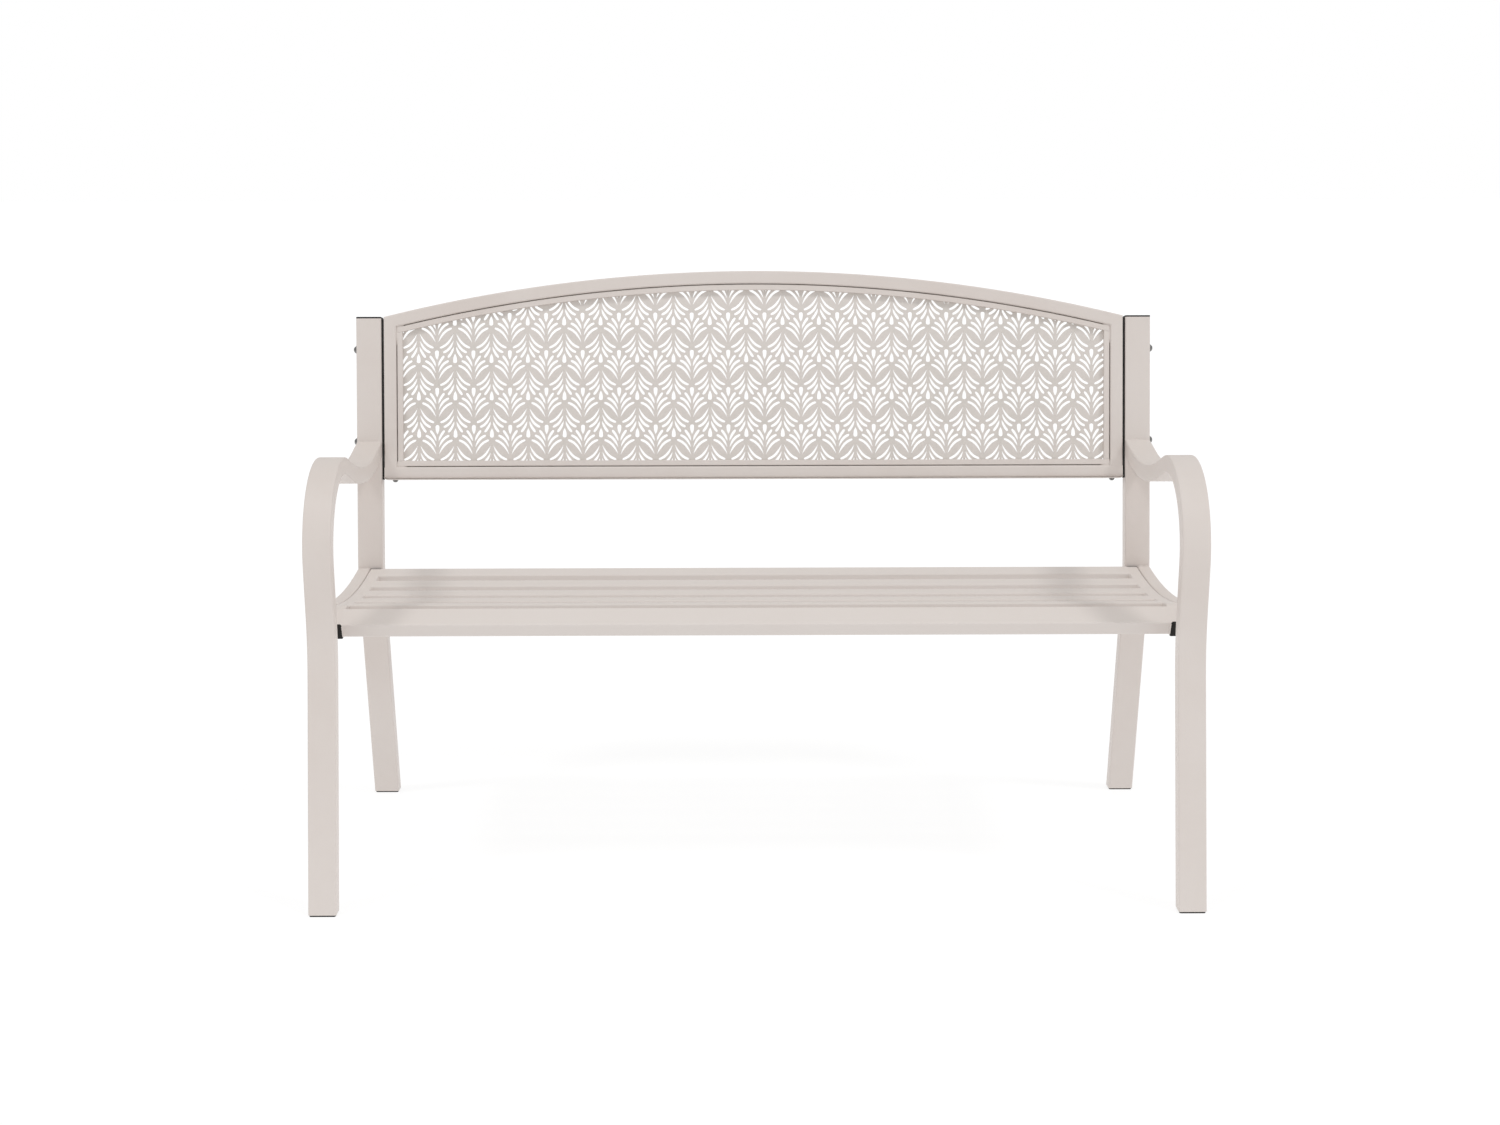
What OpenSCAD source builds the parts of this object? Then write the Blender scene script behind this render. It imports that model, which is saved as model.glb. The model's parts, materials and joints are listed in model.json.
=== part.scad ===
// Garden bench: two bent-tube side frames, a dished slatted seat and an arched back with a cut panel.
// The origin is on the ground, midway between the feet. +X runs along the bench, the front faces -Y.

/* [Overall] */
// Length across the two side frames
bench_length = 1270; // [1060:5:1530]
// Depth on the ground, front of the front feet to back of the rear feet
bench_depth = 615; // [565:5:745]
// Height of the top face of the seat where it meets the posts
seat_height = 400; // [370:5:440]
// Height of the arm's highest point, on its front loop
arm_height = 625; // [600:1:660]
// Height of the posts with their caps
post_height = 796; // [740:5:900]

/* [Side frame] */
// Width of the leg, arm and post tube
frame_tube_w = 40; // [38:1:50]
// Thickness of the leg, arm and post tube
frame_tube_t = 25; // [20:1:28]
// Wall of all the tubes
tube_wall = 1.5; // [1.2:0.1:2]
// Corner radius of all the tubes
tube_corner = 2.5; // [2:0.5:4]
// Lean of the front leg from upright, in degrees
front_leg_lean = 11.2; // [8:0.2:13]
// Height of the knee where the front leg turns upright
knee_height = 372; // [360:4:390]
// Bend radius of the knee
knee_r = 300; // [150:10:400]
// Forward lean of the arm riser above the knee, in degrees
riser_lean = 4.5; // [3:0.5:6]
// Bend radius of the arm's front loop
arm_loop_r = 130; // [100:5:132]
// Fall of the arm behind the loop, in degrees
arm_fall = 17.7; // [14:0.1:20]
// Rise of the arm into the post, in degrees
arm_rise = 10; // [6:0.5:12]
// Drop from the arm's highest point to its top face at the post
arm_rear_drop = 25; // [18:1:32]
// Bend radius of the arm's dip
arm_dip_r = 420; // [200:10:420]
// Recline of the post above the seat, in degrees
post_recline = 9.8; // [6:0.2:12]
// Splay of the rear leg below the seat, in degrees
rear_leg_splay = 12.6; // [8:0.2:14]
// Height of the bend between the rear leg and the post
post_bend_height = 388; // [360:4:390]
// Bend radius between the rear leg and the post
post_bend_r = 150; // [80:10:200]

/* [Seat] */
// Width of the seat rails and the seat side tubes
rail_w = 20; // [18:1:20]
// Height of the seat rails and the seat side tubes
rail_h = 25; // [22:1:28]
// Distance from the front of the front feet to the front edge of the seat
seat_setback = 127; // [120:1:150]
// Height of the crest behind the rolled front edge, above the seat at the posts
seat_crest_rise = 12.8; // [6:0.2:16]
// Depth of the dish below the seat at the posts
seat_dish = 15.5; // [8:0.5:20]
// Slope of the rolled front edge, in degrees
front_slope = 25; // [15:1:30]
// Length of the rolled front edge, from its corner to the front
front_roll_len = 46; // [44:1:56]
// Bend radius of the rolled front edge
front_bend_r = 45; // [40:1:60]
// Width of a slat
slat_w = 40; // [36:1:44]
// Thickness of a slat
slat_t = 22; // [18:1:22]

/* [Back] */
// Height of the back frame's lower edge above the ground
back_bottom_height = 540; // [500:5:560]
// Rise of the arch in its middle above the back frame's corners
arch_rise = 72; // [40:2:100]
// Square size of the back frame's tubes
back_tube = 20; // [18:1:20]
// Gap between a post and the back frame, filled by the spacer strip
post_gap = 2; // [2:0.5:6]
// Corner radius of the back frame's lower corners
back_corner_r = 6; // [4:0.5:8]
// Face width of the trim bars round the panel
trim_w = 8.5; // [7:0.5:10]
// Thickness of the trim bars
trim_t = 6; // [4:0.5:7]
// Distance of the trim bars' faces behind the back frame's face
trim_recess = 2; // [1:0.5:3]
// Slot between a trim bar and the tube beside it
trim_slot = 1.5; // [1:0.25:2]
// Thickness of the panel sheet
panel_t = 1.5; // [1.2:0.1:2.5]
// Width of one repeat of the panel's pattern
pattern_w = 58.3; // [54:0.1:64]
// Height of one repeat of the panel's pattern
pattern_h = 59.7; // [56:0.1:66]

/* [Fasteners] */
// Shank diameter of the bolts
bolt_d = 6; // [5:1:8]
// Clearance between a bolt and its hole, on the diameter
bolt_clearance = 0.6; // [0.4:0.1:1]
// Head diameter of the bolts
bolt_head_d = 12; // [11:0.5:14]
// Head height of the bolts
bolt_head_h = 4.4; // [3:0.2:5]
// Washer diameter
washer_d = 14; // [13:0.5:18]
// Washer thickness
washer_t = 1.5; // [1:0.1:2]
// Outside diameter of the threaded inserts
insert_d = 9; // [9:0.5:11]
// Length of the threaded inserts
insert_len = 14; // [10:1:16]
// Clearance between a bolt and the thread of its insert, on the diameter
thread_clearance = 0.1; // [0.05:0.05:0.2]
// Height of the upper back bolts above the ground
back_bolt_high = 745; // [700:5:760]
// Height of the lower back bolts above the ground
back_bolt_low = 600; // [580:5:620]
// Distance from the posts to the rear seat bolts
seat_bolt_rear = 32; // [28:2:80]
// Distance from the seat's front edge to the front seat bolts
seat_bolt_front = 78; // [70:2:100]
// Head diameter of the screws under the back frame
rail_screw_head_d = 9; // [8:0.5:11]
// Head height of the screws under the back frame
rail_screw_head_h = 4.5; // [3:0.5:5]
// Shank diameter of the screws under the back frame
rail_screw_d = 5; // [4:1:6]
// Distance of those screws from the ends of the back frame
rail_screw_inset = 16; // [14:1:40]

/* [Caps] */
// Thickness of a cap outside its tube
cap_t = 2.5; // [1.5:0.5:4]
// Depth of a cap's plug inside its tube
cap_depth = 14; // [8:1:20]
// Clearance between a cap's plug and its tube, on each side
cap_clearance = 0.2; // [0.1:0.05:0.4]
// Distance of a foot cap's edge inside the tube's outline
foot_inset = 1.5; // [0.5:0.5:3]
// Clearance of the spacer strip in the gap between a post and the back frame, on each side
strip_clearance = 0.2; // [0.1:0.05:0.4]
// Distance of the spacer strip behind the post's face
strip_recess = 3; // [2:0.5:5]
// Depth of the spacer strip
strip_depth = 14; // [12:1:15]

/* [Hidden] */
$fn = 48;

paint = [0.85, 0.82, 0.79];
black = [0.12, 0.11, 0.11];
bright = [0.72, 0.72, 0.72];

// A cut runs this far past the face that it opens.
over = 2;
// A tube's raw end runs this far into the tube that it is coped to.
raw_end = 10;
// Depth of the space that a coping cut clears beside a tube's face.
cope = 60;
// The rail's raw front end runs this far past the middle of the front leg.
rail_reach = 30;
// A bend leaves at least this much straight tube on each side of it.
min_straight = 8;
// A bend's outline has one step for every so many degrees.
bend_step = 4;

half_length = bench_length / 2;
side_x = half_length - frame_tube_w / 2;
side_inner_x = half_length - frame_tube_w;
rail_x = half_length - rail_w / 2;
side_tube_x = half_length - 3 * rail_w / 2;
seat_inner_x = half_length - 2 * rail_w;
back_half = side_inner_x - post_gap;

// A path is a list of corners [y, z, bend radius] of a tube's front or top face, in side view.
// Y is measured there from the front of the front feet. A heading turns from up towards the back.
function heading(a, b) = atan2(b[0] - a[0], b[1] - a[1]);
function reach(a, b) = norm([b[0] - a[0], b[1] - a[1]]);
function turn_at(p, i) = heading(p[i], p[i + 1]) - heading(p[i - 1], p[i]);
function is_bend(p, i) = i > 0 && i < len(p) - 1;
function tangent_len(p, i) = is_bend(p, i) ? p[i][2] * tan(abs(turn_at(p, i)) / 2) : 0;
// The wanted radius, or the largest that the room beside the corner leaves.
function bend_r(wanted, room, turn) = min(wanted, (room - min_straight) / tan(turn / 2));

// Rear post: the front face of the splayed leg and of the reclined post.
rear_foot_y = bench_depth - frame_tube_t / cos(rear_leg_splay);
post_bend_y = rear_foot_y - post_bend_height * tan(rear_leg_splay);
function rear_leg_y(z) = rear_foot_y - z * tan(rear_leg_splay);
function post_y(z) = post_bend_y + (z - post_bend_height) * tan(post_recline);
post_end_z = post_height - cap_t * cos(post_recline);
post_path = [
    [rear_leg_y(cap_t - raw_end), cap_t - raw_end, 0],
    [post_bend_y, post_bend_height, post_bend_r],
    [post_y(post_end_z), post_end_z, 0]
];

// Front leg: a leaning leg up to the knee, then a riser that leans forward.
function front_leg_y(z) = z * tan(front_leg_lean);
knee_y = front_leg_y(knee_height);
// The loop leaves the riser here, and its corner is where the riser and the falling arm meet.
loop_start_z = arm_height - arm_loop_r * (1 + sin(riser_lean));
loop_start_y = knee_y - (loop_start_z - knee_height) * tan(riser_lean);
loop_len = arm_loop_r * tan((90 + arm_fall + riser_lean) / 2);
loop_y = loop_start_y - loop_len * sin(riser_lean);
loop_z = loop_start_z + loop_len * cos(riser_lean);
// The dip's corner is where the falling arm meets the part that rises to the post.
arm_end_z = arm_height - arm_rear_drop;
arm_end_y = post_y(arm_end_z);
fall_len = (loop_z - arm_end_z - tan(arm_rise) * (loop_y - arm_end_y))
    / (sin(arm_fall) + tan(arm_rise) * cos(arm_fall));
dip_y = loop_y + fall_len * cos(arm_fall);
dip_z = loop_z - fall_len * sin(arm_fall);
dip_room = min(fall_len - loop_len, (arm_end_y - dip_y) / cos(arm_rise));
arm_path = [
    [front_leg_y(cap_t - raw_end), cap_t - raw_end, 0],
    [knee_y, knee_height, knee_r],
    [loop_y, loop_z, arm_loop_r],
    [dip_y, dip_z, bend_r(arm_dip_r, dip_room, arm_fall + arm_rise)],
    [arm_end_y + raw_end, arm_end_z + raw_end * tan(arm_rise), 0]
];

// Seat: the top face of the rails and side tubes, from the posts forward.
seat_rear = [post_y(seat_height), seat_height];
crest = [seat_setback + front_roll_len * cos(front_slope), seat_height + seat_crest_rise];
seat_front = [seat_setback, crest[1] - front_roll_len * sin(front_slope)];
low = [(seat_rear[0] + crest[0]) / 2, seat_height - seat_dish];
rear_fall = atan2(seat_rear[1] - low[1], seat_rear[0] - low[0]);
front_rise = atan2(crest[1] - low[1], low[0] - crest[0]);
roll_turn = front_rise + front_slope;
dish_turn = rear_fall + front_rise;
dish_room = reach(low, crest) - front_bend_r * tan(roll_turn / 2);
dish_len = min(dish_room, reach(low, seat_rear)) - min_straight;
dish_r = dish_len / tan(dish_turn / 2);
dish_centre_y = low[0] + dish_len * cos(rear_fall) - dish_r * sin(rear_fall);
dish_centre_z = low[1] + dish_len * sin(rear_fall) + dish_r * cos(rear_fall);
// The dish's tangent at Y gives a slat its height and its tilt.
function dish_tilt(y) = asin((y - dish_centre_y) / dish_r);
function dish_z(y) = dish_centre_z - dish_r * cos(dish_tilt(y));
// The rail runs on down the front slope into the front leg.
leg_half = frame_tube_t / 2 / cos(front_leg_lean);
rail_end_y = (tan(front_leg_lean) * (crest[1] - tan(front_slope) * crest[0]) + leg_half)
    / (1 - tan(front_leg_lean) * tan(front_slope)) - rail_reach;
rail_path = [
    [rail_end_y, crest[1] - (crest[0] - rail_end_y) * tan(front_slope), 0],
    [crest[0], crest[1], front_bend_r],
    [low[0], low[1], dish_r],
    [seat_rear[0] + raw_end * cos(rear_fall), seat_rear[1] + raw_end * sin(rear_fall), 0]
];
// The side tube stops short of the post and of the seat's front by its plugs.
side_end_gap = cap_t + cap_clearance + frame_tube_t * tan(rear_fall) / 2;
side_path = [
    [seat_front[0] + cap_t * cos(front_slope), seat_front[1] + cap_t * sin(front_slope), 0],
    [crest[0], crest[1], front_bend_r],
    [low[0], low[1], dish_r],
    [seat_rear[0] - side_end_gap * cos(rear_fall), seat_rear[1] - side_end_gap * sin(rear_fall), 0]
];

// Slats 1 to 5 lie on the dish, evenly spaced from the posts to the sloping slat 6.
slat_count = 6;
slat_rear_y = seat_rear[0] - cap_clearance - slat_w / 2;
slat_front_y = seat_setback + slat_w * cos(front_slope);
slat_pitch = (slat_rear_y + slat_w / 2 - slat_front_y) / (slat_count - 1);
function slat_y(k) = slat_rear_y - (k - 1) * slat_pitch;

// Back frame: X along it, Z up its slope from its lower edge, Y back from its face.
corner_z = (post_height - back_bottom_height) / cos(post_recline);
arch_r = (back_half * back_half + arch_rise * arch_rise) / (2 * arch_rise);
arch_z = corner_z + arch_rise - arch_r;
tube_in_x = back_half - back_tube;
function arch_at(r, x) = arch_z + sqrt(r * r - x * x);
mitre_z = arch_at(arch_r - back_tube, tube_in_x);
mitre_tilt = atan2(corner_z - mitre_z, back_tube);
trim_out_x = tube_in_x - trim_slot;
trim_in_x = trim_out_x - trim_w;
trim_low = back_tube + trim_slot;
trim_arch_r = arch_r - back_tube - trim_slot;
panel_y = trim_recess + trim_t;
function back_s(z) = (z - back_bottom_height) / cos(post_recline);

// Pattern: leaves of a palmette, each [tip x, tip z, bend x, bend z, end x, end z, half width], in
// hundredths of a repeat, counted from the palmette's foot.
leaves = [
    [3.2, 4.4, 16, 28, 38, 42, 4.4],
    [3.2, 27, 12.5, 45, 28, 55, 3.6],
    [3, 42, 8, 58, 19.5, 69, 3.2]
];
drop_foot = 60;
drop_mid = 78;
drop_top = 85;
drop_half = 5.5;
pattern_up_x = 17.4;
pattern_up_z = 36.7;
pattern_down_x = -12;
pattern_down_z = 57.8;
columns = ceil(back_half / pattern_w) + 1;
rows = ceil((corner_z + arch_rise) / pattern_h) + 1;

// Fasteners.
hole_d = bolt_d + bolt_clearance;
shank_x = half_length + washer_t;
back_bolt_len = frame_tube_w + post_gap + insert_len + washer_t;
seat_bolt_len = 2 * rail_w - tube_wall;
bolt_in = frame_tube_t / 2;
seat_bolt_ys = [seat_rear[0] - seat_bolt_rear, seat_setback + seat_bolt_front];
back_bolt_zs = [back_bolt_high, back_bolt_low];
rail_screw_x = back_half - rail_screw_inset;
rail_screw_len = back_tube / 2;

// Puts Y = 0 midway between the feet.
module placed() {
    translate([0, -bench_depth / 2, 0])
        children();
}

// A right-hand piece stays, and its mirror image is the left-hand piece.
module on_side(side) {
    mirror([side == "left" ? 1 : 0, 0, 0])
        children();
}

// A plate's outline with round corners, its face line along Y = 0.
module rounded(w, t, r) {
    translate([-w / 2 + r, 0])
        square([w - 2 * r, t]);
    translate([-w / 2, r])
        square([w, t - 2 * r]);
    for (x = [-w / 2 + r, w / 2 - r], y = [r, t - r])
        translate([x, y])
            circle(r);
}

// The section of a straight tube, its face line along Y = 0.
module tube_section(w, t) {
    difference() {
        rounded(w, t, tube_corner);
        translate([0, tube_wall])
            rounded(w - 2 * tube_wall, t - 2 * tube_wall, tube_corner - tube_wall);
    }
}

// The line at a depth behind a path's face, with its bends in short steps.
function inward(h) = [cos(h), -sin(h)];
function forward(h) = [sin(h), cos(h)];
function bend_line(p, i, depth) =
    let (h = heading(p[i - 1], p[i]), turn = turn_at(p, i), r = p[i][2], side = sign(turn))
    let (start = [p[i][0], p[i][1]] - tangent_len(p, i) * forward(h))
    let (centre = start + side * r * inward(h), steps = ceil(abs(turn) / bend_step))
    [for (k = [0 : steps]) centre - (side * r - depth) * inward(h + turn * k / steps)];
function end_point(p, i, depth, longer) =
    let (first = i == 0, h = first ? heading(p[0], p[1]) : heading(p[i - 1], p[i]))
    [p[i][0], p[i][1]] + depth * inward(h) + (first ? -longer : longer) * forward(h);
function line_behind(p, depth, longer) = [
    for (i = [0 : len(p) - 1])
        each is_bend(p, i) ? bend_line(p, i, depth) : [end_point(p, i, depth, longer)]
];
function reversed(list) = [for (i = [len(list) - 1 : -1 : 0]) list[i]];

// Everything between two depths behind a path's face, with a width along X.
module slab(p, near, far, w, longer = 0) {
    rotate([90, 0, 90])
        linear_extrude(w, center = true)
            polygon(concat(line_behind(p, near, longer), reversed(line_behind(p, far, longer))));
}

// A bent tube along a path.
module bent_tube(p, w, t) {
    difference() {
        slab(p, 0, t, w);
        slab(p, tube_wall, t - tube_wall, w - 2 * tube_wall, over);
    }
}

// Moves a piece to the first or the last end of a path, with Z pointing out of the tube.
module at_end(p, last) {
    n = len(p) - 1;
    spot = last ? p[n] : p[0];
    angle = last ? heading(p[n - 1], p[n]) : heading(p[0], p[1]);
    translate([0, spot[0], spot[1]])
        rotate([-angle, 0, 0])
            mirror([0, 0, last ? 0 : 1])
                children();
}

// The space in front of the front leg's back face, and the space behind the post's front face.
module leg_space() {
    slab(arm_path, -cope, frame_tube_t, 2 * frame_tube_w);
}

module post_space() {
    slab(post_path, 0, cope, 2 * frame_tube_w);
}

// A cylinder along X, from an outer face inwards.
module across(x, length, d) {
    translate([x - length, 0, 0])
        rotate([0, 90, 0])
            cylinder(d = d, h = length);
}

// Places for the bolts through the posts and through the seat rails.
module at_back_bolts() {
    for (z = back_bolt_zs)
        translate([0, post_y(z), z])
            rotate([-post_recline, 0, 0])
                translate([0, bolt_in, 0])
                    children();
}

module at_seat_bolts() {
    for (y = seat_bolt_ys)
        translate([0, y, dish_z(y)])
            rotate([dish_tilt(y), 0, 0])
                translate([0, 0, -rail_h / 2])
                    children();
}

module arm_leg(side) {
    color(paint) placed() on_side(side) translate([side_x, 0, 0])
        difference() {
            bent_tube(arm_path, frame_tube_w, frame_tube_t);
            post_space();
            translate([-cope, -cope, -cope])
                cube([2 * cope, 2 * cope, cope + cap_t]);
        }
}

module rear_post(side) {
    color(paint) placed() on_side(side)
        difference() {
            translate([side_x, 0, 0])
                bent_tube(post_path, frame_tube_w, frame_tube_t);
            at_back_bolts()
                across(half_length + over, frame_tube_w + 2 * over, hole_d);
            translate([side_x - cope, rear_foot_y - cope, -cope])
                cube([2 * cope, 2 * cope, cope + cap_t]);
        }
}

module seat_rail(side) {
    color(paint) placed() on_side(side)
        difference() {
            translate([rail_x, 0, 0])
                bent_tube(rail_path, rail_w, rail_h);
            translate([side_x, 0, 0])
                leg_space();
            translate([side_x, 0, 0])
                post_space();
            at_seat_bolts()
                across(half_length + over, rail_w + 2 * over, hole_d);
        }
}

module seat_side_tube(side) {
    color(paint) placed() on_side(side)
        difference() {
            translate([side_tube_x, 0, 0])
                bent_tube(side_path, rail_w, rail_h);
            at_seat_bolts()
                across(half_length - rail_w + over, tube_wall + 2 * over, insert_d);
        }
}

// A cap on a tube's end: a plate over the end and a plug inside it.
module end_cap(w, t) {
    gap = tube_wall + cap_clearance;
    linear_extrude(cap_t)
        rounded(w, t, tube_corner);
    translate([0, gap, -cap_depth])
        linear_extrude(cap_depth)
            rounded(w - 2 * gap, t - 2 * gap, tube_corner - tube_wall);
}

module post_cap(side) {
    color(black) placed() on_side(side) translate([side_x, 0, 0])
        at_end(post_path, true)
            end_cap(frame_tube_w, frame_tube_t);
}

module seat_plug(side, front) {
    color(black) placed() on_side(side) translate([side_tube_x, 0, 0])
        at_end(side_path, !front)
            end_cap(rail_w, rail_h);
}

// A foot: a flat pad on the ground and a plug that leans with the leg.
module foot(side, face_y, lean) {
    gap = tube_wall + cap_clearance;
    pad_t = frame_tube_t / cos(lean);
    color(black) placed() on_side(side) translate([side_x, face_y, 0]) {
        translate([0, foot_inset, 0])
            linear_extrude(cap_t)
                rounded(frame_tube_w - 2 * foot_inset, pad_t - 2 * foot_inset, tube_corner);
        intersection() {
            rotate([-lean, 0, 0])
                translate([0, gap, -cap_depth])
                    linear_extrude(2 * cap_depth)
                        rounded(frame_tube_w - 2 * gap, frame_tube_t - 2 * gap, tube_corner - tube_wall);
            translate([-cope, -cope, cap_t / 2])
                cube([2 * cope, 2 * cope, cap_depth]);
        }
    }
}

module spacer_strip(side) {
    color(black) placed() on_side(side)
        difference() {
            back_place()
                translate([back_half + strip_clearance, strip_recess, 0])
                    cube([post_gap - 2 * strip_clearance, strip_depth, back_s(post_end_z)]);
            at_back_bolts()
                across(side_inner_x + over, post_gap + 2 * over, hole_d);
        }
}

// A slat's tube, across the seat, with the middle of its top face at the origin.
module slat_tube() {
    rotate([90, 0, 90])
        linear_extrude(2 * seat_inner_x, center = true)
            mirror([0, 1])
                tube_section(slat_w, slat_t);
}

module slat(k) {
    color(paint) placed()
        if (k < slat_count) {
            translate([0, slat_y(k), dish_z(slat_y(k))])
                rotate([dish_tilt(slat_y(k)), 0, 0])
                    slat_tube();
        } else {
            translate([0, seat_front[0], seat_front[1]])
                rotate([front_slope, 0, 0])
                    translate([0, slat_w / 2, 0])
                        slat_tube();
        }
}

// The back frame's own place: on the posts' slope, from its lower edge up.
module back_place() {
    translate([0, post_y(back_bottom_height), back_bottom_height])
        rotate([-post_recline, 0, 0])
            children();
}

// Extrudes an outline in X and Z from a depth y back by t.
module back_plate(y, t) {
    translate([0, y + t, 0])
        rotate([90, 0, 0])
            linear_extrude(t)
                children();
}

// Everything below the line of a frame corner's mitre.
module below_mitre(x, z, tilt) {
    back_plate(-over, back_tube + 2 * over)
        translate([x, z])
            rotate(tilt)
                translate([-bench_length, -bench_length])
                    square([2 * bench_length, bench_length]);
}

// The waste outside a lower corner's rounding.
module corner_waste() {
    back_plate(-over, back_tube + 2 * over)
        translate([back_half - back_corner_r, 0])
            difference() {
                translate([0, -over])
                    square([back_corner_r + over, back_corner_r + over]);
                translate([0, back_corner_r])
                    circle(back_corner_r);
            }
}

// A ring in the arch's plane, between two radii.
module arch_ring(outer, inner) {
    translate([0, arch_z])
        difference() {
            circle(outer, $fn = 720);
            circle(inner, $fn = 720);
        }
}

// An arched bar behind a depth y, its outer face an inset inside the arch, cut off at each side.
module arch_bar(inset, height, half_w, y, t) {
    back_plate(y, t)
        intersection() {
            arch_ring(arch_r - inset, arch_r - inset - height);
            translate([-half_w, 0])
                square([2 * half_w, 2 * corner_z]);
        }
}

module back_top_tube() {
    inner = back_tube - 2 * tube_wall;
    color(paint) placed() back_place()
        difference() {
            arch_bar(0, back_tube, back_half + over, 0, back_tube);
            arch_bar(tube_wall, inner, back_half + over, tube_wall, inner);
            for (side = ["left", "right"])
                on_side(side)
                    below_mitre(back_half, corner_z, mitre_tilt);
        }
}

module back_side_tube(side) {
    color(paint) placed() on_side(side)
        difference() {
            back_place()
                intersection() {
                    translate([back_half - back_tube / 2, 0, 0])
                        linear_extrude(corner_z + back_tube)
                            tube_section(back_tube, back_tube);
                    below_mitre(back_half, corner_z, mitre_tilt);
                    difference() {
                        translate([0, -over, 0])
                            cube([bench_length, 2 * back_tube, 2 * corner_z]);
                        below_mitre(back_half, 0, -45);
                    }
                }
            back_place()
                corner_waste();
            at_back_bolts()
                across(back_half + over, tube_wall + 2 * over, insert_d);
        }
}

module back_bottom_tube() {
    color(paint) placed() back_place()
        difference() {
            translate([0, 0, back_tube / 2])
                rotate([0, 90, 0])
                    linear_extrude(2 * back_half, center = true)
                        tube_section(back_tube, back_tube);
            for (side = ["left", "right"])
                on_side(side) {
                    difference() {
                        translate([back_half - 2 * back_tube, -over, -over])
                            cube([3 * back_tube, back_tube + 2 * over, 2 * back_tube]);
                        below_mitre(back_half, 0, -45);
                    }
                    corner_waste();
                    translate([rail_screw_x, back_tube / 2, -over])
                        cylinder(d = insert_d, h = tube_wall + 2 * over);
                }
        }
}

module trim_top() {
    color(paint) placed() back_place()
        arch_bar(back_tube + trim_slot, trim_w, trim_out_x, trim_recess, trim_t);
}

module trim_bottom() {
    color(paint) placed() back_place()
        translate([-trim_out_x, trim_recess, trim_low])
            cube([2 * trim_out_x, trim_t, trim_w]);
}

module side_trim(side) {
    color(paint) placed() on_side(side) back_place()
        back_plate(trim_recess, trim_t)
            intersection() {
                translate([trim_in_x, trim_low + trim_w])
                    square([trim_w, corner_z]);
                translate([0, arch_z])
                    circle(trim_arch_r - trim_w, $fn = 720);
            }
}

// The flat outline inside the back frame, from a lower edge to an arc.
module panel_outline(x, z, r) {
    intersection() {
        translate([-x, z])
            square([2 * x, 2 * corner_z]);
        translate([0, arch_z])
            circle(r, $fn = 720);
    }
}

// A leaf: pointed at both ends, widest at its bend.
module leaf(p) {
    run = [p[4] - p[0], p[5] - p[1]] / norm([p[4] - p[0], p[5] - p[1]]);
    side = [run[1], -run[0]];
    polygon([[p[0], p[1]], [p[2], p[3]] + side * p[6], [p[4], p[5]], [p[2], p[3]] - side * p[6]]);
}

// One palmette: three pairs of leaves under a drop.
module palmette() {
    for (flip = [0, 1])
        mirror([flip, 0])
            for (p = leaves)
                leaf(p);
    polygon([[0, drop_foot], [drop_half, drop_mid], [0, drop_top], [-drop_half, drop_mid]]);
}

// Columns of palmettes, upright or turned over.
module palmettes(x, z, over_turn) {
    for (i = [-columns : columns], k = [-1 : rows])
        translate([x + i * pattern_w, z + k * pattern_h])
            mirror([0, over_turn])
                scale(pattern_w / 100)
                    palmette();
}

module back_panel() {
    color(paint) placed() back_place()
        back_plate(panel_y, panel_t)
            difference() {
                panel_outline(tube_in_x, back_tube, arch_r - back_tube);
                intersection() {
                    panel_outline(trim_in_x, trim_low + trim_w, trim_arch_r - trim_w);
                    union() {
                        palmettes(pattern_up_x, pattern_up_z, 0);
                        palmettes(pattern_down_x, pattern_down_z, 1);
                    }
                }
            }
}

// A domed bolt along X, its shank running inwards from the washer's outer face.
module bolt(length) {
    r = bolt_head_d / 2;
    dome_r = (r * r + bolt_head_h * bolt_head_h) / (2 * bolt_head_h);
    translate([shank_x, 0, 0])
        rotate([0, 90, 0]) {
            intersection() {
                translate([0, 0, bolt_head_h - dome_r])
                    sphere(dome_r);
                cylinder(r = r + over, h = bolt_head_h + over);
            }
            translate([0, 0, -length])
                cylinder(d = bolt_d, h = length + over / 2);
        }
}

module washer() {
    translate([half_length, 0, 0])
        rotate([0, 90, 0])
            difference() {
                cylinder(d = washer_d, h = washer_t);
                translate([0, 0, -over])
                    cylinder(d = hole_d, h = washer_t + 2 * over);
            }
}

// A threaded insert whose outer face is at x.
module insert(x, length) {
    difference() {
        across(x, length, insert_d);
        across(x + over, length + 2 * over, bolt_d + thread_clearance);
    }
}

module both_sides() {
    for (side = ["left", "right"])
        on_side(side)
            children();
}

module back_bolts() {
    color(bright) placed() both_sides() at_back_bolts()
        bolt(back_bolt_len);
}

module back_washers() {
    color(bright) placed() both_sides() at_back_bolts()
        washer();
}

module back_inserts() {
    color(bright) placed() both_sides() at_back_bolts()
        insert(back_half, insert_len);
}

module seat_bolts() {
    color(bright) placed() both_sides() at_seat_bolts()
        bolt(seat_bolt_len);
}

module seat_washers() {
    color(bright) placed() both_sides() at_seat_bolts()
        washer();
}

module seat_inserts() {
    color(bright) placed() both_sides() at_seat_bolts()
        insert(half_length - rail_w, insert_len);
}

module rail_screws() {
    r = rail_screw_head_d / 2;
    dome_r = (r * r + rail_screw_head_h * rail_screw_head_h) / (2 * rail_screw_head_h);
    color(bright) placed() both_sides() back_place()
        translate([rail_screw_x, back_tube / 2, 0]) {
            intersection() {
                translate([0, 0, dome_r - rail_screw_head_h])
                    sphere(dome_r);
                translate([0, 0, -rail_screw_head_h - over])
                    cylinder(r = r + over, h = rail_screw_head_h + over);
            }
            translate([0, 0, -over / 2])
                cylinder(d = rail_screw_d, h = rail_screw_len + over / 2);
        }
}

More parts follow.
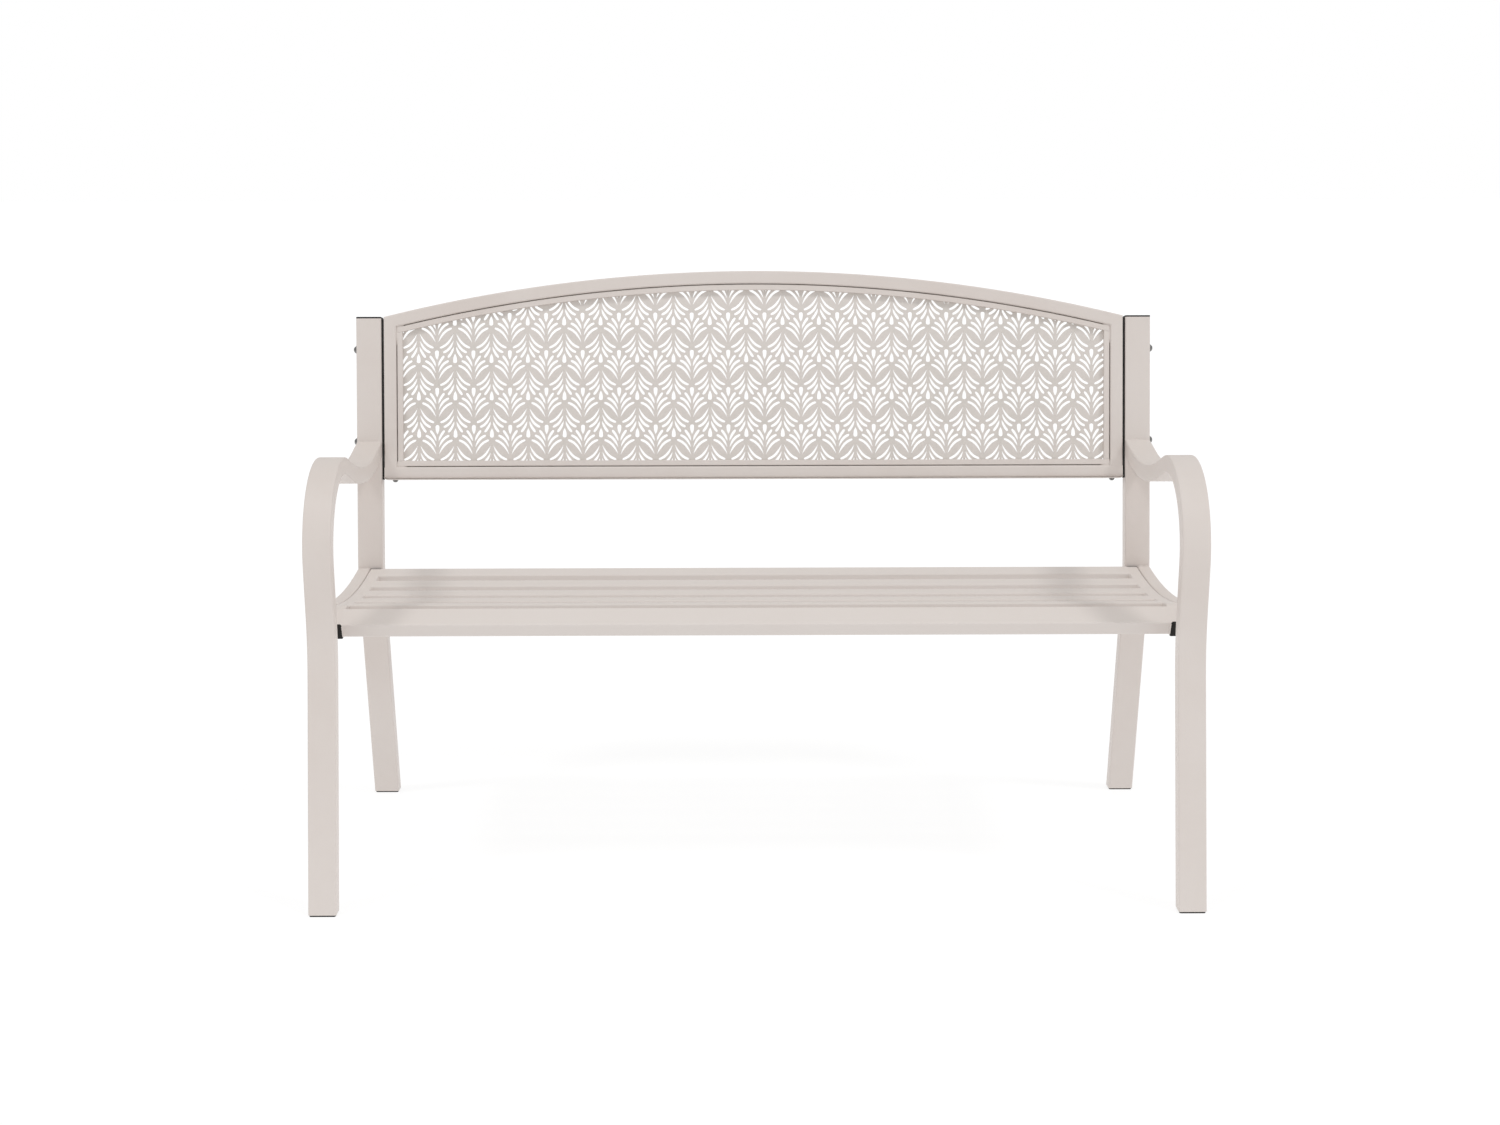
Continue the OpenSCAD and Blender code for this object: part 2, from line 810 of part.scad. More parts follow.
module rail_inserts() {
    color(bright) placed() both_sides() back_place()
        translate([rail_screw_x, back_tube / 2, 0])
            difference() {
                cylinder(d = insert_d, h = rail_screw_len);
                translate([0, 0, -over])
                    cylinder(d = rail_screw_d + thread_clearance, h = rail_screw_len + 2 * over);
            }
}

arm_leg("left");  // left_arm_leg
arm_leg("right");  // right_arm_leg
rear_post("left");  // left_rear_post
rear_post("right");  // right_rear_post
seat_rail("left");  // left_seat_rail
seat_rail("right");  // right_seat_rail
post_cap("left");  // left_post_cap
post_cap("right");  // right_post_cap
foot("left", 0, front_leg_lean);  // left_front_foot
foot("right", 0, front_leg_lean);  // right_front_foot
foot("left", rear_foot_y, -rear_leg_splay);  // left_rear_foot
foot("right", rear_foot_y, -rear_leg_splay);  // right_rear_foot
spacer_strip("left");  // left_spacer_strip
spacer_strip("right");  // right_spacer_strip
seat_side_tube("left");  // left_seat_side_tube
seat_side_tube("right");  // right_seat_side_tube
seat_plug("left", true);  // left_seat_front_plug
seat_plug("right", true);  // right_seat_front_plug
seat_plug("left", false);  // left_seat_rear_plug
seat_plug("right", false);  // right_seat_rear_plug
slat(1);  // slat_1
slat(2);  // slat_2
slat(3);  // slat_3
slat(4);  // slat_4
slat(5);  // slat_5
slat(6);  // slat_6
back_top_tube();
back_bottom_tube();
back_side_tube("left");  // left_back_side_tube
back_side_tube("right");  // right_back_side_tube
trim_top();
trim_bottom();
side_trim("left");  // left_trim
side_trim("right");  // right_trim
back_panel();
back_bolts();
back_washers();
back_inserts();
seat_bolts();
seat_washers();
seat_inserts();
rail_screws();
rail_inserts();
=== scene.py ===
# %% [markdown]
# # A steel garden bench
# The bench is two bent-tube side frames, a dished seat of six slats and an arched back round a
# laser-cut panel. The CAD model gives every place and size, and this lesson models each piece again
# by hand, with its rounded edges, welds and finish.

# %% Load the CAD model
import json
import math

import bpy
from mathutils import Matrix, Vector


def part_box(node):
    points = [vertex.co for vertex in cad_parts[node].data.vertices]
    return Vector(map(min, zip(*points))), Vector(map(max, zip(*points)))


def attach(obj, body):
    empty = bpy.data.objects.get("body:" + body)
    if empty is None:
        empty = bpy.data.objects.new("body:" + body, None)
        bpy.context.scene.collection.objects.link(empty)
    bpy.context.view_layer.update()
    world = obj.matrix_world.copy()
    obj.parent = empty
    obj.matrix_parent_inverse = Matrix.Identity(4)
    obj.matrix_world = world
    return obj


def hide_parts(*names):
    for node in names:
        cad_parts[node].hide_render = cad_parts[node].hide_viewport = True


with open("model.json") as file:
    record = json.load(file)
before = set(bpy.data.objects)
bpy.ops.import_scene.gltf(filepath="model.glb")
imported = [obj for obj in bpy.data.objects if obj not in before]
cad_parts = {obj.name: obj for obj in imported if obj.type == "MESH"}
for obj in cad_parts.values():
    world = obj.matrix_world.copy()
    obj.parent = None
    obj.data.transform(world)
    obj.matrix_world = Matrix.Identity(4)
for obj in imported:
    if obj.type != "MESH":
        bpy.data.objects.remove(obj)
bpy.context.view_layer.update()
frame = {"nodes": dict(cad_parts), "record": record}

NODES = frame["nodes"]

# %% [markdown]
# ## Driving sizes
# A bench like this is drawn from the side first. A few lengths and angles set the whole outline, so
# they are named once here. Widths and heights that a CAD node already shows are read from its box.

# %% Sizes from the CAD boxes
arm_low, arm_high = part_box("right_arm_leg")
HALF_LENGTH = arm_high[0]
FRAME_W = arm_high[0] - arm_low[0]
INNER_X = arm_low[0]
RAIL_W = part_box("right_seat_rail")[1][0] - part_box("right_seat_rail")[0][0]
BACK_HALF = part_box("back_bottom_tube")[1][0]
print("half length", round(HALF_LENGTH, 4), "frame tube", round(FRAME_W, 4))

# %% Sizes by name
BENCH_DEPTH = 0.615
FRAME_T = 0.025
TUBE_CORNER = 0.0025
CAP_T = 0.0025
FRONT_LEAN = 11.2
KNEE_HEIGHT = 0.372
KNEE_R = 0.300
RISER_LEAN = 4.5
LOOP_R = 0.130
ARM_HEIGHT = 0.625
POST_HEIGHT = 0.796
ARM_FALL = 17.7
ARM_RISE = 10.0
ARM_REAR_DROP = 0.025
DIP_R = 0.420
RECLINE = 9.8
REAR_SPLAY = 12.6
POST_BEND_HEIGHT = 0.388
POST_BEND_R = 0.150
SEAT_HEIGHT = 0.400
SEAT_SETBACK = 0.127
CREST_RISE = 0.0128
SEAT_DISH = 0.0155
FRONT_SLOPE = 25.0
ROLL_LEN = 0.046
ROLL_R = 0.045
RAIL_H = 0.025
MIN_STRAIGHT = 0.008
SLAT_W = 0.040
SLAT_T = 0.022
SLAT_COUNT = 6
CAP_CLEARANCE = 0.0002


# %% Trigonometry in degrees
def sin_d(angle):
    return math.sin(math.radians(angle))


def cos_d(angle):
    return math.cos(math.radians(angle))


def tan_d(angle):
    return math.tan(math.radians(angle))


# %% [markdown]
# ## The side view
# Every bent tube follows a line in side view: the front or top face of the tube, as corners with a
# bend radius. The lines are worked out here just as a maker sets out a jig, with Y counted from the
# front of the front feet. A heading of 0 points up and 90 points to the back.

# %% Lines of the rear post and the front leg
HALF_DEPTH = BENCH_DEPTH / 2
REAR_FOOT_Y = BENCH_DEPTH - FRAME_T / cos_d(REAR_SPLAY)
POST_BEND_Y = REAR_FOOT_Y - POST_BEND_HEIGHT * tan_d(REAR_SPLAY)
POST_END_Z = POST_HEIGHT - CAP_T * cos_d(RECLINE)


def post_y(z):
    return POST_BEND_Y + (z - POST_BEND_HEIGHT) * tan_d(RECLINE)


def front_leg_y(z):
    return z * tan_d(FRONT_LEAN)


LEG_SPARE = 0.010
post_path = [
    (REAR_FOOT_Y + LEG_SPARE * tan_d(REAR_SPLAY), -LEG_SPARE, 0),
    (POST_BEND_Y, POST_BEND_HEIGHT, POST_BEND_R),
    (post_y(POST_END_Z), POST_END_Z, 0),
]

# %% Line of the arm
WELD_IN = 0.006
knee_y = front_leg_y(KNEE_HEIGHT)
loop_start_z = ARM_HEIGHT - LOOP_R * (1 + sin_d(RISER_LEAN))
loop_start_y = knee_y - (loop_start_z - KNEE_HEIGHT) * tan_d(RISER_LEAN)
loop_len = LOOP_R * tan_d((90 + ARM_FALL + RISER_LEAN) / 2)
loop_y = loop_start_y - loop_len * sin_d(RISER_LEAN)
loop_z = loop_start_z + loop_len * cos_d(RISER_LEAN)
arm_end_z = ARM_HEIGHT - ARM_REAR_DROP
arm_end_y = post_y(arm_end_z)
fall_len = (loop_z - arm_end_z - tan_d(ARM_RISE) * (loop_y - arm_end_y)) / (
    sin_d(ARM_FALL) + tan_d(ARM_RISE) * cos_d(ARM_FALL)
)
dip_y = loop_y + fall_len * cos_d(ARM_FALL)
dip_z = loop_z - fall_len * sin_d(ARM_FALL)
dip_room = min(fall_len - loop_len, (arm_end_y - dip_y) / cos_d(ARM_RISE))
dip_r = min(DIP_R, (dip_room - MIN_STRAIGHT) / tan_d((ARM_FALL + ARM_RISE) / 2))
arm_path = [
    (front_leg_y(-LEG_SPARE), -LEG_SPARE, 0),
    (knee_y, KNEE_HEIGHT, KNEE_R),
    (loop_y, loop_z, LOOP_R),
    (dip_y, dip_z, dip_r),
    (arm_end_y + WELD_IN, arm_end_z + WELD_IN * tan_d(ARM_RISE), 0),
]

# %% Line of the seat
seat_rear = (post_y(SEAT_HEIGHT), SEAT_HEIGHT)
crest = (SEAT_SETBACK + ROLL_LEN * cos_d(FRONT_SLOPE), SEAT_HEIGHT + CREST_RISE)
seat_front = (SEAT_SETBACK, crest[1] - ROLL_LEN * sin_d(FRONT_SLOPE))
low = ((seat_rear[0] + crest[0]) / 2, SEAT_HEIGHT - SEAT_DISH)
rear_fall = math.degrees(math.atan2(seat_rear[1] - low[1], seat_rear[0] - low[0]))
front_rise = math.degrees(math.atan2(crest[1] - low[1], low[0] - crest[0]))
roll_room = ROLL_R * tan_d((front_rise + FRONT_SLOPE) / 2)
dish_room = math.dist(low, crest) - roll_room
dish_len = min(dish_room, math.dist(low, seat_rear)) - MIN_STRAIGHT
dish_r = dish_len / tan_d((rear_fall + front_rise) / 2)
dish_centre = (
    low[0] + dish_len * cos_d(rear_fall) - dish_r * sin_d(rear_fall),
    low[1] + dish_len * sin_d(rear_fall) + dish_r * cos_d(rear_fall),
)


def dish_tilt(y):
    return math.degrees(math.asin((y - dish_centre[0]) / dish_r))


def dish_z(y):
    return dish_centre[1] - dish_r * cos_d(dish_tilt(y))


leg_half = FRAME_T / 2 / cos_d(FRONT_LEAN)
rail_end_y = (
    tan_d(FRONT_LEAN) * (crest[1] - tan_d(FRONT_SLOPE) * crest[0]) + leg_half
) / (1 - tan_d(FRONT_LEAN) * tan_d(FRONT_SLOPE))
rail_path = [
    (rail_end_y, crest[1] - (crest[0] - rail_end_y) * tan_d(FRONT_SLOPE), 0),
    (*crest, ROLL_R),
    (*low, dish_r),
    (seat_rear[0] + WELD_IN * cos_d(rear_fall), seat_rear[1] + WELD_IN * sin_d(rear_fall), 0),
]
side_end_gap = CAP_T + CAP_CLEARANCE + FRAME_T * tan_d(rear_fall) / 2
side_path = [
    (seat_front[0] + CAP_T * cos_d(FRONT_SLOPE), seat_front[1] + CAP_T * sin_d(FRONT_SLOPE), 0),
    (*crest, ROLL_R),
    (*low, dish_r),
    (seat_rear[0] - side_end_gap * cos_d(rear_fall), seat_rear[1] - side_end_gap * sin_d(rear_fall), 0),
]
print("arm dip radius", round(dip_r, 3), "seat dish radius", round(dish_r, 3))

# %% [markdown]
# ## Tools of the shop
# Every tube starts the same way: a flat plane the size of the tube's section, its four corners
# rounded with a vertex bevel, then pushed along by extrude on the straights and spin on the bends.
# That is also how a tube bender works, so the steps of a bend fall where the real bend is.

# %% Helpers for selecting and for finishing a piece
TO_FEET = Vector((0, -HALF_DEPTH, 0))
BEND_TOLERANCE = 0.00005


def deselect():
    if bpy.context.mode != "OBJECT":
        bpy.ops.object.mode_set(mode="OBJECT")
    bpy.ops.object.select_all(action="DESELECT")


def take(piece):
    """Makes one object the only selected and active one."""
    deselect()
    piece.select_set(True)
    bpy.context.view_layer.objects.active = piece


def edit(piece, select="DESELECT"):
    take(piece)
    bpy.ops.object.mode_set(mode="EDIT")
    bpy.ops.mesh.select_all(action=select)


def apply_modifier(piece, kind, **values):
    take(piece)
    modifier = piece.modifiers.new(kind.title(), kind)
    for key, value in values.items():
        setattr(modifier, key, value)
    bpy.ops.object.modifier_apply(modifier=modifier.name)


def apply_place(piece):
    take(piece)
    bpy.ops.object.transform_apply(location=True, rotation=True, scale=True)


def smooth(piece, angle=32):
    """Rounded edges shade softly while the flat sides stay flat."""
    take(piece)
    bpy.ops.object.shade_smooth_by_angle(angle=math.radians(angle))
    apply_modifier(piece, "WEIGHTED_NORMAL", keep_sharp=True)


def joined(pieces, name):
    take(pieces[0])
    for piece in pieces[1:]:
        piece.select_set(True)
    if len(pieces) > 1:
        bpy.ops.object.join()
    pieces[0].name = name
    return pieces[0]


def moved_copy(piece, matrix):
    """A copy with its own data, its place applied."""
    twin = piece.copy()
    twin.data = piece.data.copy()
    bpy.context.collection.objects.link(twin)
    twin.data.transform(matrix)
    return twin


def copy_of(piece, name, matrix):
    """A named copy of a solid, with its normals outward when it is a mirror image."""
    twin = moved_copy(piece, matrix)
    twin.name = name
    if matrix.determinant() < 0:
        edit(twin, "SELECT")
        bpy.ops.mesh.normals_make_consistent(inside=False)
        deselect()
    return twin


MIRROR = Matrix.Diagonal((-1, 1, 1, 1))


# %% Helpers for tubes
def heading(a, b):
    return math.degrees(math.atan2(b[0] - a[0], b[1] - a[1]))


def ahead(angle):
    return Vector((0, sin_d(angle), cos_d(angle)))


def inward(angle):
    return Vector((0, cos_d(angle), -sin_d(angle)))


def bend_steps(turn, radius):
    """As many steps as keep each flat within the tolerance of the true bend."""
    step = 2 * math.degrees(math.acos(1 - BEND_TOLERANCE / radius))
    return max(2, math.ceil(abs(turn) / step))


def add_section(name, width, depth, matrix, corner=TUBE_CORNER, segments=4):
    """A rounded flat section in edit mode, all of it selected."""
    deselect()
    bpy.ops.mesh.primitive_plane_add(size=1)
    piece = bpy.context.object
    piece.name = name
    piece.matrix_world = matrix @ Matrix.Diagonal((width, depth, 1, 1))
    apply_place(piece)
    edit(piece, "SELECT")
    bpy.ops.mesh.bevel(offset=corner, segments=segments, affect="VERTICES")
    return piece


def extrude(step):
    bpy.ops.mesh.extrude_region_move(TRANSFORM_OT_translate={"value": tuple(step)})


def spin(turn, radius, centre, axis):
    bpy.ops.mesh.spin(
        steps=bend_steps(turn, radius), angle=math.radians(turn), center=tuple(centre), axis=axis
    )


def close_up(piece):
    """Outward normals on a finished solid, back in object mode."""
    edit(piece, "SELECT")
    bpy.ops.mesh.normals_make_consistent(inside=False)
    deselect()
    return piece


def cut(piece, point, normal):
    """Cuts a solid off at a plane, on the side that the normal points to, and closes it."""
    edit(piece, "SELECT")
    bpy.ops.mesh.bisect(
        plane_co=tuple(point), plane_no=tuple(normal), use_fill=True, clear_outer=True
    )
    deselect()


def bent_tube(name, path, x, width, depth):
    def corner_at(i):
        return Vector((x, path[i][0], path[i][1])) + TO_FEET

    angle = heading(path[0], path[1])
    here = corner_at(0)
    place = Matrix.Translation(here + inward(angle) * depth / 2)
    piece = add_section(name, width, depth, place @ Matrix.Rotation(math.radians(-angle), 4, "X"))
    for i in range(1, len(path)):
        is_end = i == len(path) - 1
        turn = 0 if is_end else heading(path[i], path[i + 1]) - angle
        radius = path[i][2]
        cut = 0 if is_end else radius * tan_d(abs(turn) / 2)
        bend_start = corner_at(i) - ahead(angle) * cut
        extrude(bend_start - here)
        if not is_end:
            centre = bend_start + inward(angle) * math.copysign(radius, turn)
            spin(turn, radius, centre, (1, 0, 0))
        angle += turn
        here = corner_at(i) + ahead(angle) * cut
    return close_up(piece)


def straight_tube(name, width, depth, matrix, length, corner=TUBE_CORNER):
    """A tube that runs along the matrix's own Z."""
    piece = add_section(name, width, depth, matrix, corner)
    extrude(matrix.to_3x3() @ Vector((0, 0, length)))
    return close_up(piece)


# %% [markdown]
# ## Finishes
# The bench is powder coated: a warm off-white polyester coat, satin, with a fine orange peel. It is
# thinner, so a little lighter and smoother, on sharp edges, and dust settles on what faces up. One
# node group makes each of these effects, so that frame, seat and panel can take them in different
# amounts. The groups read Object coordinates, so the grain has one scale over the whole bench.

# %% Helpers for node groups
def new_group(name, inputs, outputs):
    group = bpy.data.node_groups.new(name, "ShaderNodeTree")
    for label, kind, value in inputs:
        socket = group.interface.new_socket(label, in_out="INPUT", socket_type=kind)
        socket.default_value = value
    for label, kind in outputs:
        group.interface.new_socket(label, in_out="OUTPUT", socket_type=kind)
    enter = group.nodes.new("NodeGroupInput")
    leave = group.nodes.new("NodeGroupOutput")
    return group, enter, leave


def node(tree, kind, links=(), **values):
    """A node with its sockets set by name: a number or colour, or a socket to link from."""
    made = tree.nodes.new(kind)
    for key, value in values.items():
        setattr(made, key, value)
    for key, value in dict(links).items():
        socket = made.inputs[key]
        if isinstance(value, bpy.types.NodeSocket):
            tree.links.new(value, socket)
        else:
            socket.default_value = value
    return made


FLOAT = "NodeSocketFloat"
COLOR = "NodeSocketColor"
FIELD = "NodeSocketVector"


# %% Orange peel: the low ripple and fine grain of a powder coat
def make_orange_peel():
    group, enter, leave = new_group(
        "orange_peel",
        [("Place", FIELD, (0, 0, 0)), ("Ripple Scale", FLOAT, 420), ("Grain Scale", FLOAT, 1800),
         ("Grain Share", FLOAT, 0.3)],
        [("Height", FLOAT)],
    )
    ripple = node(group, "ShaderNodeTexNoise", {
        "Vector": enter.outputs["Place"], "Scale": enter.outputs["Ripple Scale"],
        "Detail": 1.5, "Roughness": 0.4})
    grain = node(group, "ShaderNodeTexNoise", {
        "Vector": enter.outputs["Place"], "Scale": enter.outputs["Grain Scale"],
        "Detail": 1.0, "Roughness": 0.5})
    mixed = node(group, "ShaderNodeMix", {
        0: enter.outputs["Grain Share"], 2: ripple.outputs["Fac"], 3: grain.outputs["Fac"]},
        data_type="FLOAT")
    group.links.new(mixed.outputs[0], leave.inputs["Height"])
    return group


# %% Cloudiness: slow changes of tone where the coat is thicker or thinner
def make_cloudiness():
    group, enter, leave = new_group(
        "cloudiness",
        [("Place", FIELD, (0, 0, 0)), ("Base", COLOR, (1, 1, 1, 1)), ("Thin", COLOR, (1, 1, 1, 1)),
         ("Scale", FLOAT, 6), ("Amount", FLOAT, 0.5)],
        [("Color", COLOR), ("Mask", FLOAT)],
    )
    clouds = node(group, "ShaderNodeTexNoise", {
        "Vector": enter.outputs["Place"], "Scale": enter.outputs["Scale"],
        "Detail": 4.0, "Roughness": 0.6})
    spread = node(group, "ShaderNodeMapRange", {
        "Value": clouds.outputs["Fac"], "From Min": 0.35, "From Max": 0.65})
    amount = node(group, "ShaderNodeMath", {
        0: spread.outputs["Result"], 1: enter.outputs["Amount"]}, operation="MULTIPLY")
    mixed = node(group, "ShaderNodeMix", {
        0: amount.outputs[0], 6: enter.outputs["Base"], 7: enter.outputs["Thin"]},
        data_type="RGBA")
    group.links.new(mixed.outputs[2], leave.inputs["Color"])
    group.links.new(spread.outputs["Result"], leave.inputs["Mask"])
    return group


# %% Edge thinning: convex edges, found by how pointed the mesh is there
def make_edge_thinning():
    group, enter, leave = new_group(
        "edge_thinning",
        [("Place", FIELD, (0, 0, 0)), ("Low", FLOAT, 0.53), ("High", FLOAT, 0.62),
         ("Breakup Scale", FLOAT, 60)],
        [("Mask", FLOAT)],
    )
    geometry = node(group, "ShaderNodeNewGeometry")
    edge = node(group, "ShaderNodeMapRange", {
        "Value": geometry.outputs["Pointiness"], "From Min": enter.outputs["Low"],
        "From Max": enter.outputs["High"]})
    breakup = node(group, "ShaderNodeTexNoise", {
        "Vector": enter.outputs["Place"], "Scale": enter.outputs["Breakup Scale"], "Detail": 3.0})
    worn = node(group, "ShaderNodeMath", {
        0: edge.outputs["Result"], 1: breakup.outputs["Fac"]}, operation="MULTIPLY")
    group.links.new(worn.outputs[0], leave.inputs["Mask"])
    return group


# %% Settled dust: a thin film on faces that look up
def make_settled_dust():
    group, enter, leave = new_group(
        "settled_dust",
        [("Place", FIELD, (0, 0, 0)), ("Base", COLOR, (1, 1, 1, 1)), ("Dust", COLOR, (1, 1, 1, 1)),
         ("Amount", FLOAT, 0.2), ("Scale", FLOAT, 25)],
        [("Color", COLOR), ("Mask", FLOAT)],
    )
    geometry = node(group, "ShaderNodeNewGeometry")
    parts = node(group, "ShaderNodeSeparateXYZ", {"Vector": geometry.outputs["Normal"]})
    facing = node(group, "ShaderNodeMapRange", {
        "Value": parts.outputs["Z"], "From Min": 0.55, "From Max": 1.0})
    drift = node(group, "ShaderNodeTexNoise", {
        "Vector": enter.outputs["Place"], "Scale": enter.outputs["Scale"], "Detail": 6.0,
        "Roughness": 0.65})
    cover = node(group, "ShaderNodeMath", {
        0: facing.outputs["Result"], 1: drift.outputs["Fac"]}, operation="MULTIPLY")
    amount = node(group, "ShaderNodeMath", {
        0: cover.outputs[0], 1: enter.outputs["Amount"]}, operation="MULTIPLY")
    mixed = node(group, "ShaderNodeMix", {
        0: amount.outputs[0], 6: enter.outputs["Base"], 7: enter.outputs["Dust"]},
        data_type="RGBA")
    group.links.new(mixed.outputs[2], leave.inputs["Color"])
    group.links.new(amount.outputs[0], leave.inputs["Mask"])
    return group


orange_peel = make_orange_peel()
cloudiness = make_cloudiness()
edge_thinning = make_edge_thinning()
settled_dust = make_settled_dust()
print("finish groups", [g.name for g in bpy.data.node_groups])


# %% [markdown]
# ### The powder coat
# The coat is one material with three strengths: frame, seat and panel. The seat's tops are wiped by
# use, so they are smoother; the seat coat is also lighter in colour, which is painted light for the
# seat's tops that face up. The panel's thin sheet shows the least ripple.

# %% The coat material
def material_nodes(name):
    material = bpy.data.materials.new(name)
    material.use_nodes = True
    tree = material.node_tree
    shader = tree.nodes["Principled BSDF"]
    place = node(tree, "ShaderNodeTexCoord").outputs["Object"]
    return material, tree, shader, place


def group_node(tree, group, links):
    made = node(tree, "ShaderNodeGroup", node_tree=group)
    for key, value in links.items():
        if isinstance(value, bpy.types.NodeSocket):
            tree.links.new(value, made.inputs[key])
        else:
            made.inputs[key].default_value = value
    return made


def powder_coat(name, base, thin, dust_amount, ripple_depth, roughness):
    material, tree, shader, place = material_nodes(name)
    tone = group_node(tree, cloudiness, {"Place": place, "Base": base, "Thin": thin})
    edges = group_node(tree, edge_thinning, {"Place": place})
    edged = node(tree, "ShaderNodeMix", {
        0: edges.outputs["Mask"], 6: tone.outputs["Color"], 7: thin}, data_type="RGBA")
    dusty = group_node(tree, settled_dust, {
        "Place": place, "Base": edged.outputs[2], "Dust": (0.60, 0.55, 0.48, 1),
        "Amount": dust_amount})
    tree.links.new(dusty.outputs["Color"], shader.inputs["Base Color"])
    shine = node(tree, "ShaderNodeMapRange", {
        "Value": tone.outputs["Mask"], "To Min": roughness, "To Max": roughness + 0.07})
    dull = node(tree, "ShaderNodeMath", {
        0: shine.outputs["Result"], 1: dusty.outputs["Mask"]}, operation="ADD", use_clamp=True)
    tree.links.new(dull.outputs[0], shader.inputs["Roughness"])
    peel = group_node(tree, orange_peel, {"Place": place})
    bump = node(tree, "ShaderNodeBump", {
        "Strength": 0.35, "Distance": ripple_depth, "Height": peel.outputs["Height"]})
    tree.links.new(bump.outputs["Normal"], shader.inputs["Normal"])
    shader.inputs["IOR"].default_value = 1.5
    return material


COAT = (0.672, 0.607, 0.567, 1)
COAT_THIN = (0.716, 0.664, 0.630, 1)
frame_coat = powder_coat("frame_coat", COAT, COAT_THIN, 0.10, 0.00030, 0.42)
# Seat coat: its lighter base colour is painted light, standing for the extra light on the up-facing
# seat tops.
seat_coat_painted_light = powder_coat("seat_coat_painted_light", (0.700, 0.640, 0.602, 1), COAT_THIN, 0.14, 0.00030, 0.38)
panel_coat = powder_coat("panel_coat", (0.625, 0.590, 0.550, 1), COAT_THIN, 0.06, 0.00015, 0.45)


# %% [markdown]
# ### Plastic and bright metal
# Caps, plugs, feet and strips are moulded black polyethylene with a fine spark-eroded grain and a few
# scuffs. The bolts are zinc plated: metal with faint swirls and a slightly uneven shine.

# %% Black plastic
def moulded_plastic():
    material, tree, shader, place = material_nodes("black_plastic")
    tone = group_node(tree, cloudiness, {
        "Place": place, "Base": (0.011, 0.010, 0.009, 1), "Thin": (0.018, 0.016, 0.015, 1),
        "Scale": 90.0, "Amount": 0.6})
    edges = group_node(tree, edge_thinning, {"Place": place, "Breakup Scale": 300.0})
    scuffed = node(tree, "ShaderNodeMix", {
        0: edges.outputs["Mask"], 6: tone.outputs["Color"], 7: (0.032, 0.028, 0.026, 1)},
        data_type="RGBA")
    tree.links.new(scuffed.outputs[2], shader.inputs["Base Color"])
    shine = node(tree, "ShaderNodeMapRange", {
        "Value": tone.outputs["Mask"], "To Min": 0.50, "To Max": 0.66})
    tree.links.new(shine.outputs["Result"], shader.inputs["Roughness"])
    shader.inputs["Specular IOR Level"].default_value = 0.25
    grain = group_node(tree, orange_peel, {
        "Place": place, "Ripple Scale": 2200.0, "Grain Scale": 5200.0, "Grain Share": 0.5})
    bump = node(tree, "ShaderNodeBump", {
        "Strength": 0.5, "Distance": 0.0001, "Height": grain.outputs["Height"]})
    tree.links.new(bump.outputs["Normal"], shader.inputs["Normal"])
    return material


black_plastic = moulded_plastic()


# %% Zinc plate and plain steel
def plated_metal(name, color, dark, roughness):
    material, tree, shader, place = material_nodes(name)
    tone = group_node(tree, cloudiness, {
        "Place": place, "Base": color, "Thin": dark, "Scale": 260.0, "Amount": 0.7})
    tree.links.new(tone.outputs["Color"], shader.inputs["Base Color"])
    shine = node(tree, "ShaderNodeMapRange", {
        "Value": tone.outputs["Mask"], "To Min": roughness, "To Max": roughness + 0.14})
    tree.links.new(shine.outputs["Result"], shader.inputs["Roughness"])
    shader.inputs["Metallic"].default_value = 1.0
    swirl = group_node(tree, orange_peel, {
        "Place": place, "Ripple Scale": 1500.0, "Grain Scale": 4000.0})
    bump = node(tree, "ShaderNodeBump", {
        "Strength": 0.25, "Distance": 0.0001, "Height": swirl.outputs["Height"]})
    tree.links.new(bump.outputs["Normal"], shader.inputs["Normal"])
    return material


bright_zinc = plated_metal("bright_zinc", (0.30, 0.295, 0.29, 1), (0.10, 0.098, 0.095, 1), 0.22)
plain_steel = plated_metal("plain_steel", (0.50, 0.48, 0.46, 1), (0.30, 0.29, 0.27, 1), 0.38)

# %% What each record slot is finished with
FINISH = {
    "frame_paint": frame_coat,
    "seat_paint": seat_coat_painted_light,
    "panel_paint": panel_coat,
    "black_plastic": black_plastic,
    "zinc": bright_zinc,
    "steel_insert": plain_steel,
}


def finish(piece, slot, *replaced):
    """Gives the piece the finish of a record slot and the root body, and hides the CAD nodes that it
    stands for.
    """
    piece.data.materials.clear()
    piece.data.materials.append(FINISH[slot])
    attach(piece, "root")
    if replaced:
        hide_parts(*replaced)


for part in frame["record"]["subparts"]:
    carried = NODES[part["node"]]
    carried.data.materials.clear()
    carried.data.materials.append(FINISH[part["material_slot"]])
print("finished CAD nodes", len(NODES))


# %% [markdown]
# ## Side frames
# Each side is one bent tube that makes the front leg and arm, one that makes the rear leg and post,
# and a rail between them. In the shop they are cut, bent and welded in a jig. Here each is a section
# pushed along its line, first on the right, and the left one is its mirror image.

# %% Bend the tubes of the right side frame
SIDE_X = INNER_X + FRAME_W / 2
RAIL_X = HALF_LENGTH - RAIL_W / 2
SIDE_TUBE_X = INNER_X + RAIL_W / 2
FLUSH = 0.00005

